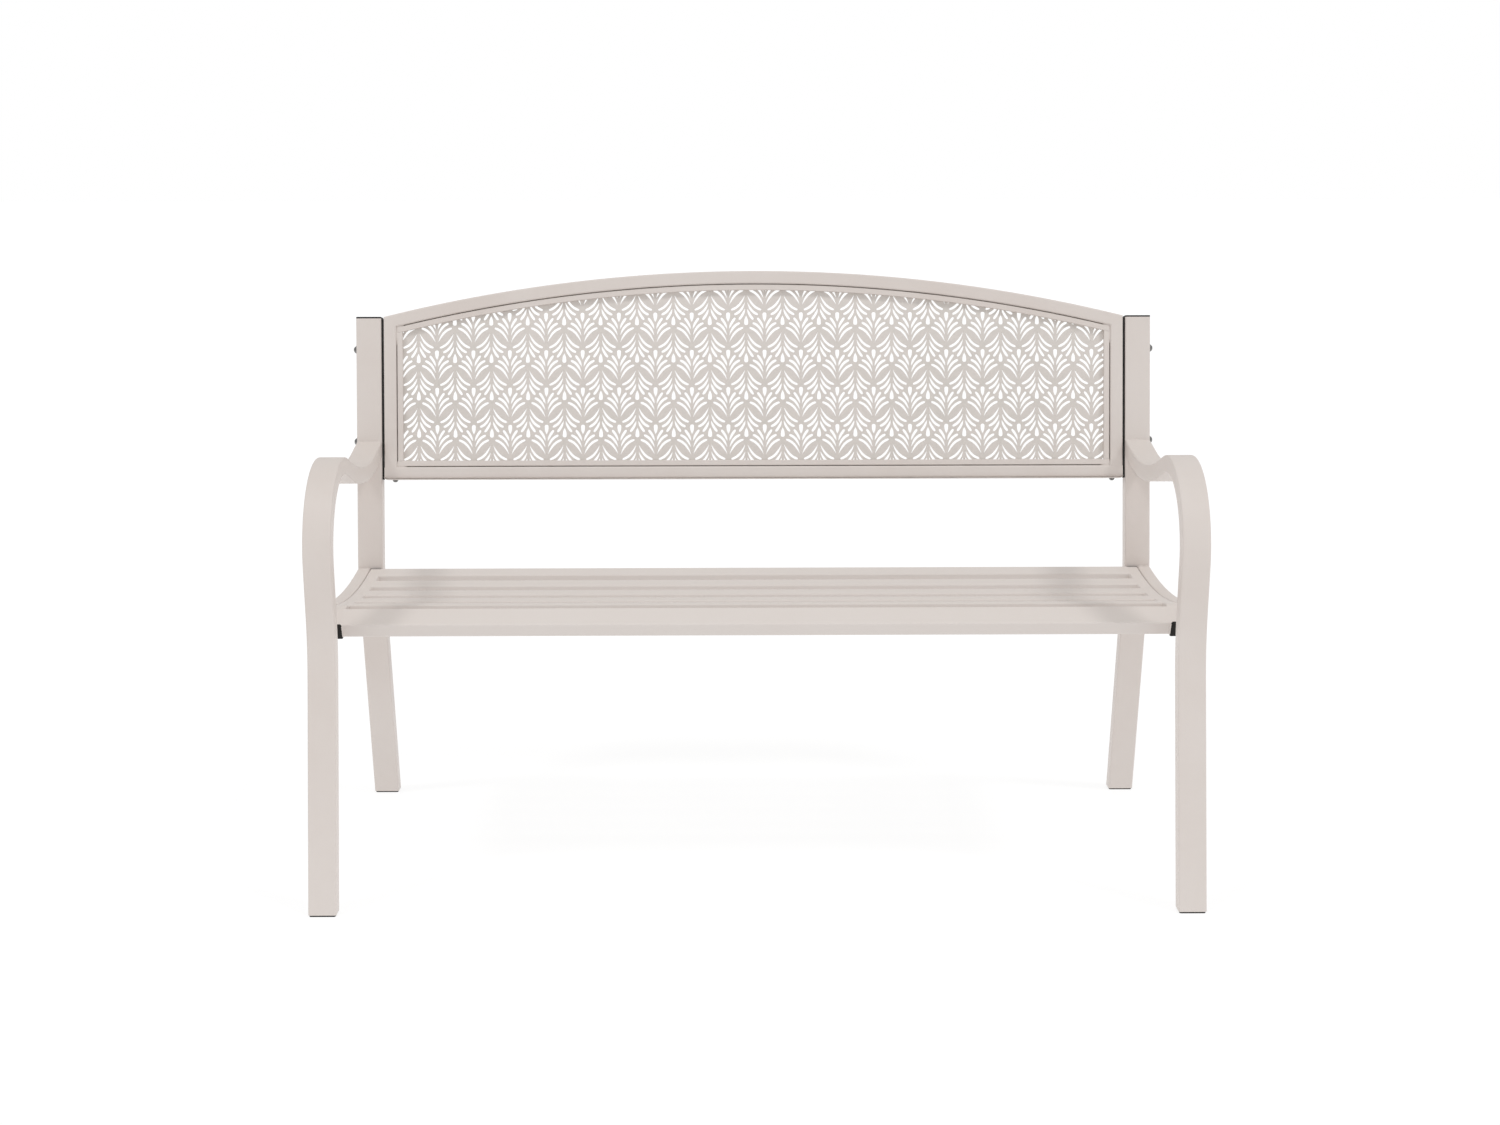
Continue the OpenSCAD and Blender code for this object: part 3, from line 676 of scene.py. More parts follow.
right_side = {
    "arm_leg": bent_tube("right_arm_leg_tube", arm_path, SIDE_X, FRAME_W - 2 * FLUSH, FRAME_T),
    "rear_post": bent_tube("right_rear_post_tube", post_path, SIDE_X, FRAME_W, FRAME_T),
    "seat_rail": bent_tube("right_seat_rail_tube", rail_path, RAIL_X, RAIL_W - 4 * FLUSH, RAIL_H),
}
for name in ("arm_leg", "rear_post"):
    cut(right_side[name], (0, 0, CAP_T), (0, 0, -1))
for name, tube in right_side.items():
    high_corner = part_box("right_" + name)[1]
    made = [tube.matrix_world @ Vector(c) for c in tube.bound_box]
    off = [max(v[i] for v in made) - high_corner[i] for i in range(3)]
    print(name, "beyond the CAD box by mm", [round(v * 1000, 2) for v in off])

# %% Mirror them to the left, then finish both
for name, tube in right_side.items():
    twin = copy_of(tube, "left_" + name + "_tube", MIRROR)
    for piece, side in ((tube, "right_"), (twin, "left_")):
        smooth(piece)
        finish(piece, "frame_paint", side + name)


# %% [markdown]
# ## The seat
# Two dished side tubes carry six slats. Five lie on the dish at one pitch and the sixth rolls over
# at the front. A slat is a straight 40 by 20 tube, so it is modelled once and each copy is set down
# at the height and tilt of the dish under it.

# %% Seat side tubes
SEAM = 0.0006
right_side_tube = bent_tube(
    "right_seat_side", side_path, SIDE_TUBE_X - SEAM / 2, RAIL_W - SEAM, RAIL_H
)
left_side_tube = copy_of(right_side_tube, "left_seat_side", MIRROR)
for piece, side in ((right_side_tube, "right_"), (left_side_tube, "left_")):
    smooth(piece)
    finish(piece, "seat_paint", side + "seat_side_tube")

# %% Slats
ALONG_X = Matrix(((0, 0, 1, 0), (1, 0, 0, 0), (0, 1, 0, 0), (0, 0, 0, 1)))
slat_rear_y = seat_rear[0] - CAP_CLEARANCE - SLAT_W / 2
slat_front_y = SEAT_SETBACK + SLAT_W * cos_d(FRONT_SLOPE)
slat_pitch = (slat_rear_y + SLAT_W / 2 - slat_front_y) / (SLAT_COUNT - 1)
WELD_R = 0.0010
SLAT_IN = 0.0026


def slat_place(k):
    """The middle of slat k's top face, tilted as the seat is there."""
    if k < SLAT_COUNT:
        y = slat_rear_y - (k - 1) * slat_pitch
        spot, tilt = Vector((0, y, dish_z(y))), dish_tilt(y)
    else:
        spot, tilt = Vector((0, *seat_front)), FRONT_SLOPE
    place = Matrix.Translation(spot + TO_FEET) @ Matrix.Rotation(math.radians(tilt), 4, "X")
    return place if k < SLAT_COUNT else place @ Matrix.Translation((0, SLAT_W / 2, 0))


slat_model = straight_tube(
    "slat_model", SLAT_W, SLAT_T,
    Matrix.Translation((-INNER_X - SLAT_IN, 0, -SLAT_T / 2)) @ ALONG_X, 2 * (INNER_X + SLAT_IN),
)
smooth(slat_model)
slats = [copy_of(slat_model, f"seat_slat_{k}", slat_place(k)) for k in range(1, SLAT_COUNT + 1)]
for k, slat in enumerate(slats, 1):
    finish(slat, "seat_paint", f"slat_{k}")
bpy.data.objects.remove(slat_model)
print("slat pitch mm", round(slat_pitch * 1000, 1))


# %% [markdown]
# ## The back
# The back is drawn flat first, standing upright, and then leaned back as a whole: an arched top
# tube, two short sides and a straight bottom tube, mitred at the corners, with narrow trim bars
# inside them that hold the sheet. The arch is a spin about the arch's own centre.

# %% Back sizes and its place
BACK_BOTTOM = 0.540
BACK_TUBE = 0.020
ARCH_RISE = 0.072
TRIM_SLOT = 0.0015
TRIM_W = 0.0085
TRIM_T = 0.006
TRIM_RECESS = 0.002
PANEL_T = 0.0015
TRIM_EDGE = 0.0008

corner_z = (POST_HEIGHT - BACK_BOTTOM) / cos_d(RECLINE)
arch_r = (BACK_HALF**2 + ARCH_RISE**2) / (2 * ARCH_RISE)
arch_z = corner_z + ARCH_RISE - arch_r
tube_in_x = BACK_HALF - BACK_TUBE
trim_out_x = tube_in_x - TRIM_SLOT
trim_in_x = trim_out_x - TRIM_W
trim_low = BACK_TUBE + TRIM_SLOT
trim_arch_r = arch_r - BACK_TUBE - TRIM_SLOT
panel_y = TRIM_RECESS + TRIM_T


def arch_at(radius, x):
    return arch_z + math.sqrt(radius**2 - x**2)


mitre_low = Vector((tube_in_x, 0, arch_at(arch_r - BACK_TUBE, tube_in_x)))
mitre_high = Vector((BACK_HALF, 0, corner_z))
BACK_PLACE = Matrix.Translation(
    Vector((0, post_y(BACK_BOTTOM), BACK_BOTTOM)) + TO_FEET
) @ Matrix.Rotation(math.radians(-RECLINE), 4, "X")
print("arch radius", round(arch_r, 3), "mitre", tuple(round(c, 4) for c in mitre_low))


def lean_back(piece):
    """Moves a piece that was drawn upright to its place on the posts' slope."""
    piece.data.transform(BACK_PLACE)
    piece.data.update()


# %% Bars of the back: arcs and straights
def arc_bar(name, outer_r, width, depth, y, half_span, corner):
    """A bar on the arch's centre, spun from the left to the right."""
    s, c = math.sin(half_span), math.cos(half_span)
    middle_r = outer_r - width / 2
    spot = Vector((-s * middle_r, y + depth / 2, arch_z + c * middle_r))
    place = Matrix(((0, -s, c, spot.x), (1, 0, 0, spot.y), (0, c, s, spot.z), (0, 0, 0, 1)))
    piece = add_section(name, depth, width, place, corner)
    spin(math.degrees(2 * half_span), outer_r, (0, spot.y, arch_z), (0, -1, 0))
    return close_up(piece)


SPAN_SPARE = math.radians(1.5)
frame_span = math.asin(BACK_HALF / arch_r) + SPAN_SPARE

top_tube = arc_bar("back_top", arch_r, BACK_TUBE, BACK_TUBE, 0, frame_span, TUBE_CORNER)
mitre_run = mitre_high - mitre_low
for side in (1, -1):
    outward = Vector((side * mitre_run.z, 0, -mitre_run.x)).normalized()
    cut(top_tube, (side * BACK_HALF, 0, corner_z), outward)

right_upright = straight_tube(
    "right_back_upright", BACK_TUBE, BACK_TUBE,
    Matrix.Translation((BACK_HALF - BACK_TUBE / 2 - FLUSH, BACK_TUBE / 2 + FLUSH, BACK_TUBE / 2)),
    corner_z,
)
cut(right_upright, mitre_high, Vector((-mitre_run.z, 0, mitre_run.x)).normalized())

bottom_tube = straight_tube(
    "back_bottom", BACK_TUBE, BACK_TUBE,
    Matrix.Translation((-BACK_HALF, BACK_TUBE / 2, BACK_TUBE / 2)) @ ALONG_X, 2 * BACK_HALF,
)


# %% Round the lower corners of the back
def round_edges(piece, wanted, offset, segments):
    """Bevels the edges whose middles are where wanted(x, y, z) says."""
    edit(piece)
    bpy.ops.object.mode_set(mode="OBJECT")
    verts = piece.data.vertices
    for edge in piece.data.edges:
        middle = (verts[edge.vertices[0]].co + verts[edge.vertices[1]].co) / 2
        edge.select = wanted(*middle)
    bpy.ops.object.mode_set(mode="EDIT")
    bpy.ops.mesh.select_mode(type="EDGE")
    bpy.ops.mesh.bevel(offset=offset, segments=segments, affect="EDGES")
    bpy.ops.mesh.select_mode(type="VERT")
    deselect()


SMALL = 0.0001
LOW_CORNER_R = 0.004
round_edges(
    bottom_tube, lambda x, y, z: abs(x) > BACK_HALF - SMALL and z < SMALL, LOW_CORNER_R, 4
)

# %% Trim bars round the sheet
trim_bottom = straight_tube(
    "back_trim_bottom", TRIM_T, TRIM_W,
    Matrix.Translation((-trim_out_x, TRIM_RECESS + TRIM_T / 2, trim_low + TRIM_W / 2)) @ ALONG_X,
    2 * trim_out_x, TRIM_EDGE,
)
trim_top = arc_bar(
    "back_trim_top", trim_arch_r, TRIM_W, TRIM_T, TRIM_RECESS,
    math.asin(trim_out_x / trim_arch_r) + SPAN_SPARE, TRIM_EDGE,
)
for side in (1, -1):
    cut(trim_top, (side * trim_out_x, 0, 0), (side, 0, 0))

trim_middle_x = trim_out_x - TRIM_W / 2
right_trim = straight_tube(
    "right_back_trim", TRIM_W, TRIM_T,
    Matrix.Translation((trim_middle_x, TRIM_RECESS + TRIM_T / 2, trim_low + TRIM_W)), corner_z,
    TRIM_EDGE,
)
trim_end = Vector((trim_middle_x, 0, arch_at(trim_arch_r - TRIM_W, trim_middle_x)))
cut(right_trim, trim_end, (trim_end - Vector((0, 0, arch_z))).normalized())

# %% Lean the bars back and finish them
left_upright = copy_of(right_upright, "left_back_upright", MIRROR)
left_trim = copy_of(right_trim, "left_back_trim", MIRROR)
back_bars = {
    "back_top_tube": top_tube,
    "back_bottom_tube": bottom_tube,
    "right_back_side_tube": right_upright,
    "left_back_side_tube": left_upright,
    "trim_top": trim_top,
    "trim_bottom": trim_bottom,
    "right_trim": right_trim,
    "left_trim": left_trim,
}
for name, bar in back_bars.items():
    lean_back(bar)
    smooth(bar)
    finish(bar, "frame_paint", name)


# %% [markdown]
# ## The cut panel
# The sheet is cut by laser with a palmette: three pairs of curved leaves under a drop, in columns
# that stand upright and upside down in turn. One palmette is drawn as closed Bezier outlines and
# copied over the sheet. A flat curve fills between its outer outline and the outlines inside it, so
# the openings need no boolean. Only the arched edge of the field is cut with one.

# %% One palmette as outlines
REPEAT_W = 0.0583
REPEAT_H = 0.0597
UNIT = REPEAT_W / 100

# Each leaf: its pointed tip, the bend of its middle line, its round end and its half width.
LEAVES = [
    (Vector((3.2, 4.4, 0)), Vector((14.3, 36.2, 0)), Vector((38.3, 44.0, 0)), 4.0),
    (Vector((3.2, 23.5, 0)), Vector((10.8, 48.9, 0)), Vector((29.2, 56.6, 0)), 4.2),
    (Vector((2.8, 41.0, 0)), Vector((5.9, 55.0, 0)), Vector((17.4, 69.0, 0)), 4.1),
]
DROP = (Vector((0, 60.5, 0)), Vector((0, 76, 0)), Vector((0, 80.5, 0)), 6.4)

# A belly's half width as a share of the leaf's, and the pulls of the handles as shares of its length
# or of its half width.
BELLY = 0.78
TIP_PULL = 0.15
TIP_OPEN = 0.25
IN_PULL = 0.21
OUT_PULL = 0.27
END_PULL = 1.25


def leaf_outline(tip, bend, end, half):
    """A closed outline with a sharp tip, two bellies and a round end."""
    deselect()
    bpy.ops.curve.primitive_bezier_circle_add(radius=1)
    leaf = bpy.context.object
    tip_way = (bend - tip).normalized()
    end_way = (end - bend).normalized()
    middle_way = (end - tip).normalized()
    middle = tip * 0.22 + bend * 0.48 + end * 0.30
    side = Vector((middle_way.y, -middle_way.x, 0))
    end_side = Vector((end_way.y, -end_way.x, 0))
    length = (end - tip).length
    tip_pull = tip_way * length * TIP_PULL
    tip_open = side * half * TIP_OPEN
    spots = [
        (tip, tip_pull - tip_open, tip_pull + tip_open),
        (middle + side * half * BELLY, -middle_way * length * IN_PULL,
         middle_way * length * OUT_PULL),
        (end + end_way * half, end_side * half * END_PULL, -end_side * half * END_PULL),
        (middle - side * half * BELLY, middle_way * length * OUT_PULL,
         -middle_way * length * IN_PULL),
    ]
    for point, (spot, before, after) in zip(leaf.data.splines[0].bezier_points, spots):
        point.handle_left_type = point.handle_right_type = "FREE"
        point.co = spot * UNIT
        point.handle_left = (spot + before) * UNIT
        point.handle_right = (spot + after) * UNIT
    return leaf


half_leaves = [leaf_outline(*leaf) for leaf in LEAVES]
other_leaves = [moved_copy(leaf, MIRROR) for leaf in half_leaves]
palmette = joined(half_leaves + other_leaves + [leaf_outline(*DROP)], "palmette")
print("openings in one palmette", len(palmette.data.splines))

# %% The field of palmettes on one flat sheet
PATTERN_UP = (0.0174, 0.0367)
PATTERN_DOWN = (-0.0120, 0.0578)
LEAF_STEPS = 4
COLUMNS = math.ceil(BACK_HALF / REPEAT_W) + 1
ROWS = math.ceil((corner_z + ARCH_RISE) / REPEAT_H) + 1
TURNED_OVER = Matrix.Diagonal((1, -1, 1, 1))

copies = []
for (x, z), turn in ((PATTERN_UP, Matrix.Identity(4)), (PATTERN_DOWN, TURNED_OVER)):
    for i in range(-COLUMNS, COLUMNS + 1):
        for k in range(-1, ROWS + 1):
            spot = Matrix.Translation((x + i * REPEAT_W, z + k * REPEAT_H, 0))
            copies.append(moved_copy(palmette, spot @ turn))
bpy.data.objects.remove(palmette)

deselect()
bpy.ops.curve.primitive_bezier_circle_add(radius=1)
outline = bpy.context.object
margin = 2 * REPEAT_H
right = (COLUMNS + 2) * REPEAT_W
bottom, top = -2 * margin, ROWS * REPEAT_H + 2 * margin
sheet_corners = [(-right, bottom), (-right, top), (right, top), (right, bottom)]
for point, (x, z) in zip(outline.data.splines[0].bezier_points, sheet_corners):
    point.handle_left_type = point.handle_right_type = "VECTOR"
    point.co = (x, z, 0)
field = joined([outline] + copies, "panel_field")
field.data.resolution_u = LEAF_STEPS
field.data.dimensions = "2D"
field.data.fill_mode = "BOTH"
take(field)
bpy.ops.object.convert(target="MESH")
field = bpy.context.object
print("flat field", len(field.data.vertices), "points", len(field.data.polygons), "faces")


# %% Give the sheet its thickness and cut the arched field out of it
def arched_plate(name, half_width, low_z, radius, y, thickness):
    """A plate with a straight foot and sides under the arch, built up from a plane."""
    deselect()
    bpy.ops.mesh.primitive_plane_add(size=1)
    plate = bpy.context.object
    plate.name = name
    span = math.asin(half_width / radius)
    steps = bend_steps(math.degrees(2 * span), radius)
    edit(plate, "SELECT")
    bpy.ops.mesh.delete(type="ONLY_FACE")
    bpy.ops.object.mode_set(mode="OBJECT")
    corners = [(-half_width, low_z), (half_width, low_z),
               (-half_width, arch_at(radius, half_width)), (half_width, arch_at(radius, half_width))]
    for vertex, (x, z) in zip(plate.data.vertices, corners):
        vertex.co = (x, y, z)
    edit(plate)
    bpy.ops.object.mode_set(mode="OBJECT")
    for edge in plate.data.edges:
        ends = [plate.data.vertices[v].co.z for v in edge.vertices]
        edge.select = min(ends) > low_z + SMALL
    bpy.ops.object.mode_set(mode="EDIT")
    bpy.ops.mesh.select_mode(type="EDGE")
    bpy.ops.mesh.subdivide(number_cuts=steps - 1)
    bpy.ops.object.mode_set(mode="OBJECT")
    for vertex in plate.data.vertices:
        if vertex.co.z > low_z + SMALL:
            angle = span * vertex.co.x / half_width
            vertex.co = (radius * math.sin(angle), y, arch_z + radius * math.cos(angle))
    edit(plate, "SELECT")
    bpy.ops.mesh.edge_face_add()
    bpy.ops.mesh.extrude_region_move(TRANSFORM_OT_translate={"value": (0, thickness, 0)})
    return close_up(plate)


UPRIGHT = Matrix.Rotation(math.radians(90), 4, "X")
field.data.transform(Matrix.Translation((0, panel_y + PANEL_T, 0)) @ UPRIGHT)
edit(field, "SELECT")
bpy.ops.mesh.extrude_region_move(TRANSFORM_OT_translate={"value": (0, -PANEL_T, 0)})
close_up(field)

window = arched_plate(
    "window", trim_in_x, trim_low + TRIM_W, trim_arch_r - TRIM_W,
    panel_y - PANEL_T, 3 * PANEL_T,
)
apply_modifier(field, "BOOLEAN", object=window, operation="INTERSECT", solver="EXACT")
print("cut field", len(field.data.polygons), "faces")

margin_plate = arched_plate(
    "margin", tube_in_x, BACK_TUBE, arch_r - BACK_TUBE, panel_y, PANEL_T,
)
apply_modifier(margin_plate, "BOOLEAN", object=window, operation="DIFFERENCE", solver="EXACT")
bpy.data.objects.remove(window)
panel = joined([field, margin_plate], "cut_panel")
lean_back(panel)
finish(panel, "panel_paint", "back_panel")
print("panel", len(panel.data.polygons), "faces")


# %% [markdown]
# ## Welds
# The slats are welded into the side tubes on their three lower sides, the rails between leg and post,
# the arm onto the post, and the trim bars at the corners. A bead is a small ripple of filler that
# follows the outline of the tube. Here the tube's own section is the path: its face is deleted, the
# rest becomes a curve, and the curve is made thick with a radius that swells at every step.

# %% A bead round a tube's end
RIPPLE = 0.0022
SWELL = (0.82, 1.12, 0.94, 1.20)


def weld_bead(name, width, depth, place, keep, radius=WELD_R):
    """A bead round a rounded section, on the points that keep(x, y) accepts, in the section's frame."""
    bead = add_section(name, width, depth, place)
    bpy.ops.mesh.delete(type="ONLY_FACE")
    bpy.ops.object.mode_set(mode="OBJECT")
    to_section = place.inverted()
    for vertex in bead.data.vertices:
        spot = to_section @ vertex.co
        vertex.select = not keep(spot.x, spot.y)
    edit_again(bead)
    bpy.ops.mesh.delete(type="VERT")
    for longest in (0.020, 0.008):
        divide_long_edges(bead, longest)
    take(bead)
    bpy.ops.object.convert(target="CURVE")
    curve = bpy.context.object.data
    curve.dimensions = "3D"
    curve.bevel_depth = radius
    curve.bevel_resolution = 1
    curve.use_fill_caps = True
    for spline in curve.splines:
        for i, point in enumerate(spline.points):
            point.radius = SWELL[i % len(SWELL)]
    bpy.ops.object.convert(target="MESH")
    return close_up(bpy.context.object)


def edit_again(piece):
    """Edit mode with the selection that was set in code."""
    bpy.context.view_layer.objects.active = piece
    bpy.ops.object.mode_set(mode="EDIT")


def divide_long_edges(piece, longest):
    """Divides the edges over a length into steps of one ripple."""
    edit(piece)
    bpy.ops.object.mode_set(mode="OBJECT")
    verts = piece.data.vertices
    lengths = []
    for edge in piece.data.edges:
        length = (verts[edge.vertices[0]].co - verts[edge.vertices[1]].co).length
        edge.select = length > longest
        if edge.select:
            lengths.append(length)
    if not lengths:
        return
    edit_again(piece)
    bpy.ops.mesh.select_mode(type="EDGE")
    bpy.ops.mesh.subdivide(number_cuts=max(1, round(min(lengths) / RIPPLE) - 1))
    bpy.ops.mesh.select_mode(type="VERT")
    bpy.ops.object.mode_set(mode="OBJECT")


# %% Beads at the slats' right ends, mirrored to the left
def below_top(x, y):
    return y < SLAT_T / 2 - TUBE_CORNER


SLAT_END = Matrix(((0, 0, 1, INNER_X), (1, 0, 0, 0), (0, 1, 0, -SLAT_T / 2), (0, 0, 0, 1)))
slat_beads = []
for k in range(1, SLAT_COUNT + 1):
    bead = weld_bead(f"bead_{k}", SLAT_W, SLAT_T, slat_place(k) @ SLAT_END, below_top)
    slat_beads.append(bead)
right_slat_welds = joined(slat_beads, "right_slat_welds")
left_slat_welds = copy_of(right_slat_welds, "left_slat_welds", MIRROR)
for welds in (right_slat_welds, left_slat_welds):
    smooth(welds, 60)
    finish(welds, "seat_paint")


# %% Beads of the side frames
def tube_end_place(path, x, depth, angle):
    """The section's place where a path ends on another tube."""
    spot = Vector((x, path[-1][0], path[-1][1])) + TO_FEET
    return (
        Matrix.Translation(spot - ahead(angle) * WELD_IN * 1.1 + inward(angle) * depth / 2)
        @ Matrix.Rotation(math.radians(-angle), 4, "X")
    )


arm_angle = heading(arm_path[-2], arm_path[-1])
rail_angle = heading(rail_path[-2], rail_path[-1])
side_beads = [
    weld_bead(
        "bead_arm", FRAME_W, FRAME_T, tube_end_place(arm_path, SIDE_X, FRAME_T, arm_angle),
        lambda x, y: abs(x) < FRAME_W / 2 - TUBE_CORNER / 2,
    ),
    weld_bead(
        "bead_rail", RAIL_W, RAIL_H, tube_end_place(rail_path, RAIL_X, RAIL_H, rail_angle),
        lambda x, y: abs(x) < RAIL_W / 2 - TUBE_CORNER / 2,
    ),
]
right_frame_welds = joined(side_beads, "right_frame_welds")
left_frame_welds = copy_of(right_frame_welds, "left_frame_welds", MIRROR)
for welds in (right_frame_welds, left_frame_welds):
    smooth(welds, 60)
    finish(welds, "frame_paint")

# %% Tacks that hold the trim bars in the frame's corners
TACK_R = 0.0021
tack_y = TRIM_RECESS + TRIM_T / 2
tack_x = tube_in_x - TRIM_SLOT / 2
low_z = BACK_TUBE + TRIM_SLOT / 2
high_z = arch_at(arch_r - BACK_TUBE - TRIM_SLOT / 2, tack_x)


def tack(name, spot, along, length):
    """A short bead with round ends, from a sphere that is pulled long and rippled."""
    deselect()
    bpy.ops.mesh.primitive_uv_sphere_add(segments=12, ring_count=14, radius=TACK_R)
    bead = bpy.context.object
    bead.name = name
    bead.scale = (1, 1.5, length / (2 * TACK_R))
    apply_place(bead)
    for vertex in bead.data.vertices:
        vertex.co.x *= 1 + 0.10 * math.sin(vertex.co.z / RIPPLE * math.pi)
    turn = Vector((0, 0, 1)).rotation_difference(Vector(along)).to_matrix().to_4x4()
    bead.data.transform(Matrix.Translation(spot) @ turn)
    return bead


arch_lean = math.asin(tack_x / (arch_r - BACK_TUBE))
along_arch = Vector((math.cos(arch_lean), 0, -math.sin(arch_lean)))
low_corner = Vector((tack_x, tack_y, low_z))
high_corner = Vector((tack_x, tack_y, high_z))
SHORT_TACK = 0.014
LONG_TACK = 0.034
CORNER_TACK = 0.018
tacks = [
    tack("tack_a", low_corner + Vector((0, 0, SHORT_TACK / 7)), (0, 0, 1), SHORT_TACK),
    tack("tack_b", low_corner - Vector((CORNER_TACK / 3, 0, 0)), (1, 0, 0), CORNER_TACK),
    tack("tack_c", high_corner - Vector((0, 0, LONG_TACK * 6 / 17)), (0, 0, 1), LONG_TACK),
    tack("tack_d", high_corner + Vector((-1, 0, math.sin(arch_lean))) * CORNER_TACK / 6,
         along_arch, CORNER_TACK),
]
right_tacks = joined(tacks, "right_trim_tacks")
left_tacks = copy_of(right_tacks, "left_trim_tacks", MIRROR)
for welds in (right_tacks, left_tacks):
    lean_back(welds)
    smooth(welds, 60)
    finish(welds, "frame_paint")


# %% [markdown]
# ## Plastic caps
# A moulded cap closes every open tube end: a thin plate the size of the tube with a softly rounded
# rim, and a plug that grips inside. Only the plate shows, so each is a rounded section pushed out by
# the plate's thickness, with its outer rim bevelled. The feet are pads a little smaller than the tube.

# %% A cap plate
RIM = 0.0004
FOOT_INSET = 0.0015


def cap_plate(name, width, depth, place, thickness=CAP_T, corner=TUBE_CORNER):
    """A plate out along the place's own Z."""
    plate = straight_tube(name, width, depth, place, thickness, corner)
    apply_modifier(
        plate, "BEVEL", width=RIM, segments=3, limit_method="ANGLE",
        angle_limit=math.radians(60),
    )
    return plate


def end_place(path, x, depth, last):
    """A path's end with Z out of the tube."""
    angle = heading(path[-2], path[-1]) if last else heading(path[0], path[1])
    corner = path[-1] if last else path[0]
    spot = Vector((x, corner[0], corner[1])) + TO_FEET + inward(angle) * depth / 2
    place = Matrix.Translation(spot) @ Matrix.Rotation(math.radians(-angle), 4, "X")
    return place if last else place @ Matrix.Rotation(math.pi, 4, "X")


def foot_place(face_y, lean):
    return Matrix.Translation(Vector((SIDE_X, face_y + FRAME_T / cos_d(lean) / 2, 0)) + TO_FEET)


def foot_depth(lean):
    return FRAME_T / cos_d(lean) - 2 * FOOT_INSET


right_caps = {
    "post_cap": cap_plate("right_post_cap_plate", FRAME_W, FRAME_T,
                          end_place(post_path, SIDE_X, FRAME_T, True)),
    "seat_front_plug": cap_plate("right_front_plug_plate", RAIL_W, RAIL_H,
                                 end_place(side_path, SIDE_TUBE_X, RAIL_H, False)),
    "seat_rear_plug": cap_plate("right_rear_plug_plate", RAIL_W, RAIL_H,
                                end_place(side_path, SIDE_TUBE_X, RAIL_H, True)),
    "front_foot": cap_plate("right_front_foot_pad", FRAME_W - 2 * FOOT_INSET,
                            foot_depth(FRONT_LEAN), foot_place(0, FRONT_LEAN)),
    "rear_foot": cap_plate("right_rear_foot_pad", FRAME_W - 2 * FOOT_INSET,
                           foot_depth(REAR_SPLAY), foot_place(REAR_FOOT_Y, REAR_SPLAY)),
}
for name, cap in right_caps.items():
    twin = copy_of(cap, cap.name.replace("right", "left"), MIRROR)
    for piece, side in ((cap, "right_"), (twin, "left_")):
        smooth(piece)
        finish(piece, "black_plastic", side + name)
print("cap plates", 2 * len(right_caps))

# %% [markdown]
# ## Bolts
# Eight button-head bolts clamp the seat and the back between the side frames, and two small domed
# screws sit under the back. A button head is a slice of a sphere: a sphere is bisected, its flat face
# is inset to the shank's width and pushed out, and a six-sided prism cuts the key's socket.

# %% One bolt and one screw
BOLT_D = 0.006
BOLT_HEAD_D = 0.012
BOLT_HEAD_H = 0.0044
WASHER_T = 0.0015
SOCKET_R = 0.0023
SOCKET_DEPTH = 0.0021
INSERT_LEN = 0.014
TUBE_WALL = 0.0015
POST_GAP = INNER_X - BACK_HALF


def domed_bolt(name, head_d, head_h, shank_d, length):
    """Head up along Z from the origin, shank down."""
    radius = head_d / 2
    dome_r = (radius**2 + head_h**2) / (2 * head_h)
    deselect()
    bpy.ops.mesh.primitive_uv_sphere_add(segments=32, ring_count=48, radius=dome_r)
    bolt = bpy.context.object
    bolt.name = name
    cut(bolt, (0, 0, dome_r - head_h), (0, 0, -1))
    bolt.data.transform(Matrix.Translation((0, 0, head_h - dome_r)))
    edit(bolt)
    bpy.ops.object.mode_set(mode="OBJECT")
    for face in bolt.data.polygons:
        face.select = face.normal.z < -0.9 and abs(face.center.z) < SMALL
    edit_again(bolt)
    bpy.ops.mesh.select_mode(type="FACE")
    bpy.ops.mesh.inset(thickness=radius - shank_d / 2)
    extrude((0, 0, -length))
    bpy.ops.mesh.select_mode(type="VERT")
    deselect()
    bpy.ops.mesh.primitive_cylinder_add(
        vertices=6, radius=SOCKET_R * head_d / BOLT_HEAD_D, depth=2 * SOCKET_DEPTH,
        location=(0, 0, head_h),
    )
    key = bpy.context.object
    apply_modifier(bolt, "BOOLEAN", object=key, operation="DIFFERENCE", solver="EXACT")
    bpy.data.objects.remove(key)
    apply_modifier(
        bolt, "BEVEL", width=0.0002, segments=2, limit_method="ANGLE",
        angle_limit=math.radians(50),
    )
    return bolt


OUTWARD = Matrix(((0, 0, 1, 0), (0, 1, 0, 0), (-1, 0, 0, 0), (0, 0, 0, 1)))


def side_bolts(name, model, spots):
    """The model at each spot on the right and its mirror image on the left, as one piece."""
    made = []
    for i, (x, y, z) in enumerate(spots):
        place = Matrix.Translation(Vector((x, y, z)) + TO_FEET)
        turn = Matrix.Rotation(math.radians(17 + 31 * i), 4, "Z")
        right = copy_of(model, f"{name}_{i}", place @ OUTWARD @ turn)
        made += [right, copy_of(right, f"{name}_{i}_left", MIRROR)]
    piece = joined(made, name)
    smooth(piece)
    return piece


def post_bolt_spot(z):
    return (HALF_LENGTH + WASHER_T, post_y(z) + FRAME_T / 2 * cos_d(RECLINE),
            z - FRAME_T / 2 * sin_d(RECLINE))


def seat_bolt_spot(y):
    tilt = dish_tilt(y)
    return (HALF_LENGTH + WASHER_T, y + RAIL_H / 2 * sin_d(tilt), dish_z(y) - RAIL_H / 2 * cos_d(tilt))


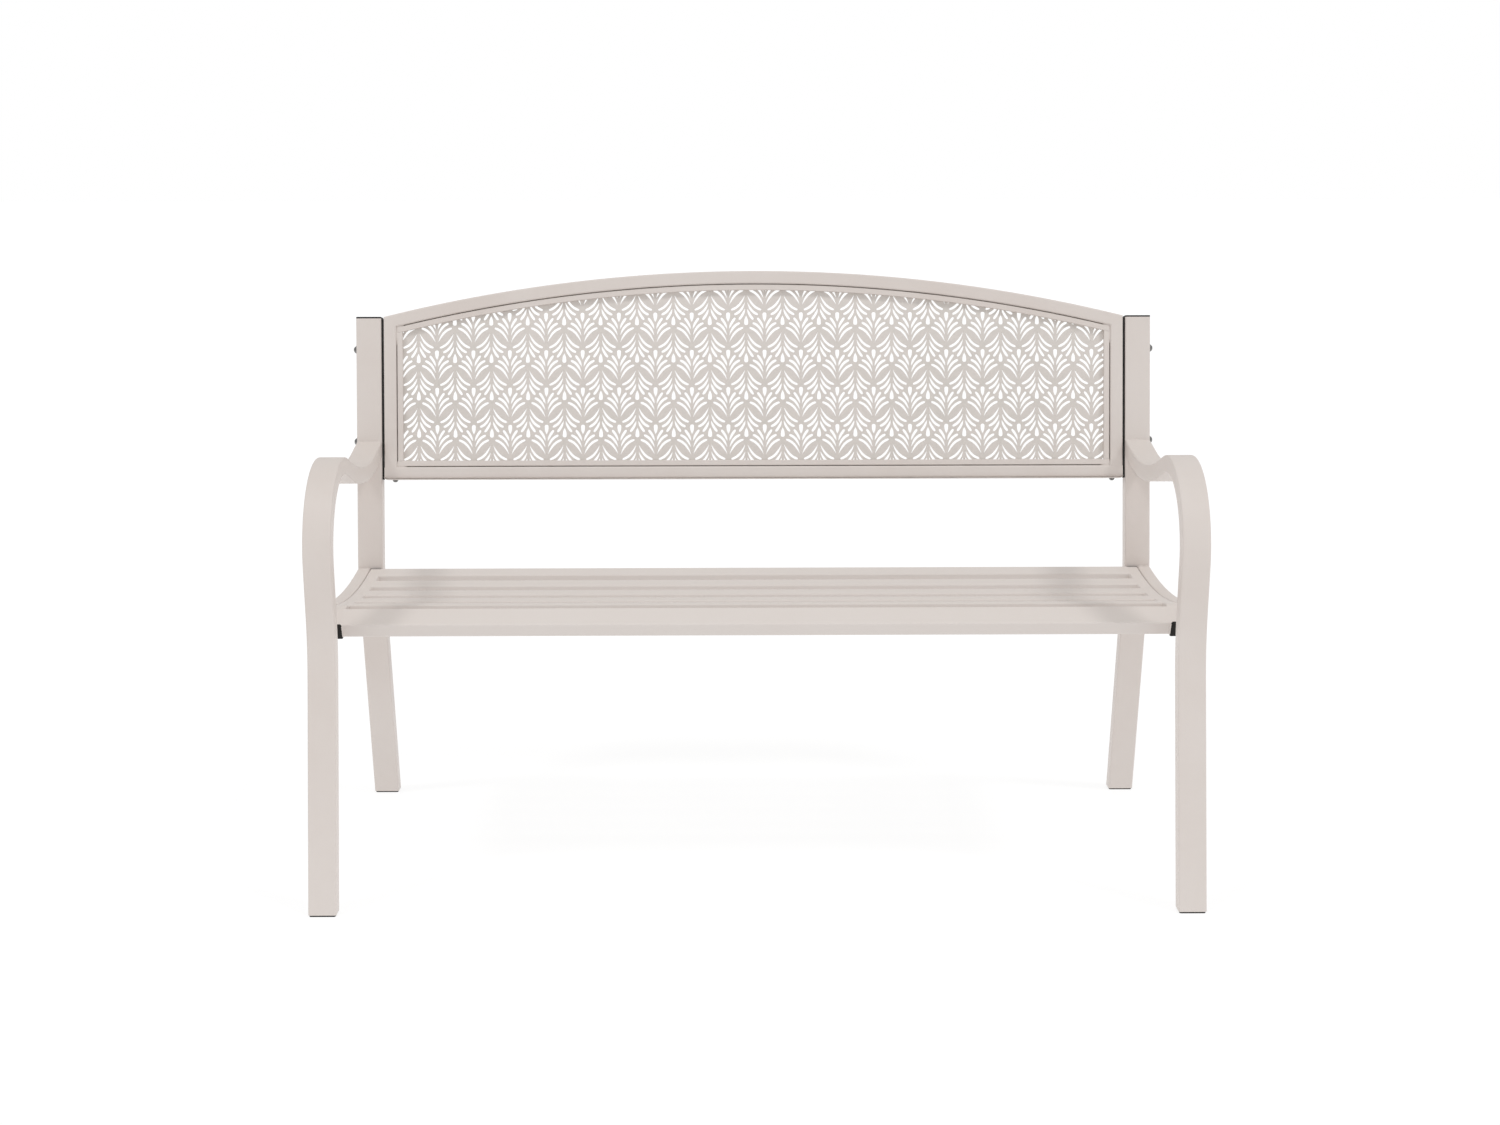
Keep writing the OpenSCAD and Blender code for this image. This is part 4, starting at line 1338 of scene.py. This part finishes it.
BACK_BOLT_HEIGHTS = (0.745, 0.600)
SEAT_BOLT_REAR = 0.032
SEAT_BOLT_FRONT = 0.078
seat_bolt_ys = (seat_rear[0] - SEAT_BOLT_REAR, SEAT_SETBACK + SEAT_BOLT_FRONT)
long_bolt = domed_bolt("long_bolt", BOLT_HEAD_D, BOLT_HEAD_H, BOLT_D,
                       FRAME_W + POST_GAP + INSERT_LEN + WASHER_T)
short_bolt = domed_bolt("short_bolt", BOLT_HEAD_D, BOLT_HEAD_H, BOLT_D, 2 * RAIL_W - TUBE_WALL)
back_bolt_set = side_bolts("bolts_of_back", long_bolt, [post_bolt_spot(z) for z in BACK_BOLT_HEIGHTS])
seat_bolt_set = side_bolts("bolts_of_seat", short_bolt, [seat_bolt_spot(y) for y in seat_bolt_ys])
finish(back_bolt_set, "zinc", "back_bolts")
finish(seat_bolt_set, "zinc", "seat_bolts")
bpy.data.objects.remove(long_bolt)
bpy.data.objects.remove(short_bolt)

# %% Screws under the back
SCREW_HEAD_D = 0.009
SCREW_HEAD_H = 0.0045
SCREW_D = 0.005
SCREW_INSET = 0.016
screw_x = BACK_HALF - SCREW_INSET
screw = domed_bolt("screw_model", SCREW_HEAD_D, SCREW_HEAD_H, SCREW_D, BACK_TUBE / 2)
UPSIDE_DOWN = Matrix.Rotation(math.pi, 4, "X")
screws = [
    copy_of(screw, f"screw_{side}",
            BACK_PLACE @ Matrix.Translation((side * screw_x, BACK_TUBE / 2, 0)) @ UPSIDE_DOWN)
    for side in (1, -1)
]
bpy.data.objects.remove(screw)
screw_set = joined(screws, "screws_of_back")
smooth(screw_set)
finish(screw_set, "zinc", "rail_screws")
print("bolts and screws", len(back_bolt_set.data.polygons), len(screw_set.data.polygons), "faces")

# %% [markdown]
# ## The studio
# The bench stands on a seamless white floor in a white room. Most of the light comes from all round,
# and two broad soft lamps, above the front corners, give the tubes their direction.

# %% Floor
FLOOR_SIZE = 60.0
deselect()
bpy.ops.mesh.primitive_plane_add(size=FLOOR_SIZE)
floor = bpy.context.object
floor.name = "studio_floor"
floor_paint, tree, shader, place = material_nodes("floor_paint")
mottle = node(tree, "ShaderNodeTexNoise", {"Vector": place, "Scale": 3.0, "Detail": 3.0})
tone = node(tree, "ShaderNodeMix", {
    0: mottle.outputs["Fac"], 6: (0.20, 0.20, 0.20, 1), 7: (0.22, 0.22, 0.22, 1)},
    data_type="RGBA")
tree.links.new(tone.outputs[2], shader.inputs["Base Color"])
shader.inputs["Roughness"].default_value = 0.8
shader.inputs["Specular IOR Level"].default_value = 0.1
shader.inputs["Emission Color"].default_value = (1, 1, 1, 1)
shader.inputs["Emission Strength"].default_value = 0.82
floor.data.materials.append(floor_paint)

# %% Room light: white where the camera sees it, a little dimmer where it lights the bench
ROOM_LIGHT = 0.67
world = bpy.data.worlds.new("studio")
bpy.context.scene.world = world
world.use_nodes = True
room = world.node_tree
background = room.nodes["Background"]
path = node(room, "ShaderNodeLightPath")
level = node(room, "ShaderNodeMapRange", {
    "Value": path.outputs["Is Camera Ray"], "To Min": ROOM_LIGHT, "To Max": 1.0})
room.links.new(level.outputs["Result"], background.inputs["Strength"])
background.inputs["Color"].default_value = (1, 1, 1, 1)

# %% Two soft lamps


def soft_lamp(name, travel, energy):
    """A broad lamp far away, its light travelling along a direction."""
    deselect()
    bpy.ops.object.light_add(
        type="SUN", rotation=Vector(travel).to_track_quat("-Z", "Y").to_euler()
    )
    lamp = bpy.context.object
    lamp.name = name
    lamp.data.energy = energy
    lamp.data.angle = math.radians(10)


soft_lamp("lamp_right", (-0.70, 0.41, -1.0), 0.66)
soft_lamp("lamp_left", (0.55, 0.40, -1.0), 0.54)

# %% Camera
deselect()
bpy.ops.object.camera_add()
camera = bpy.context.object
camera.data.lens = 52.32
camera.data.sensor_width = 36
camera.matrix_world = (
    Matrix.Translation((-0.0328, -3.2289, 1.0923))
    @ Matrix.Rotation(math.radians(-0.432), 4, "Z")
    @ Matrix.Rotation(math.radians(90 - 11.298), 4, "X")
    @ Matrix.Rotation(math.radians(-0.091), 4, "Z")
)
bpy.context.scene.camera = camera
bpy.context.scene.view_settings.view_transform = "Standard"
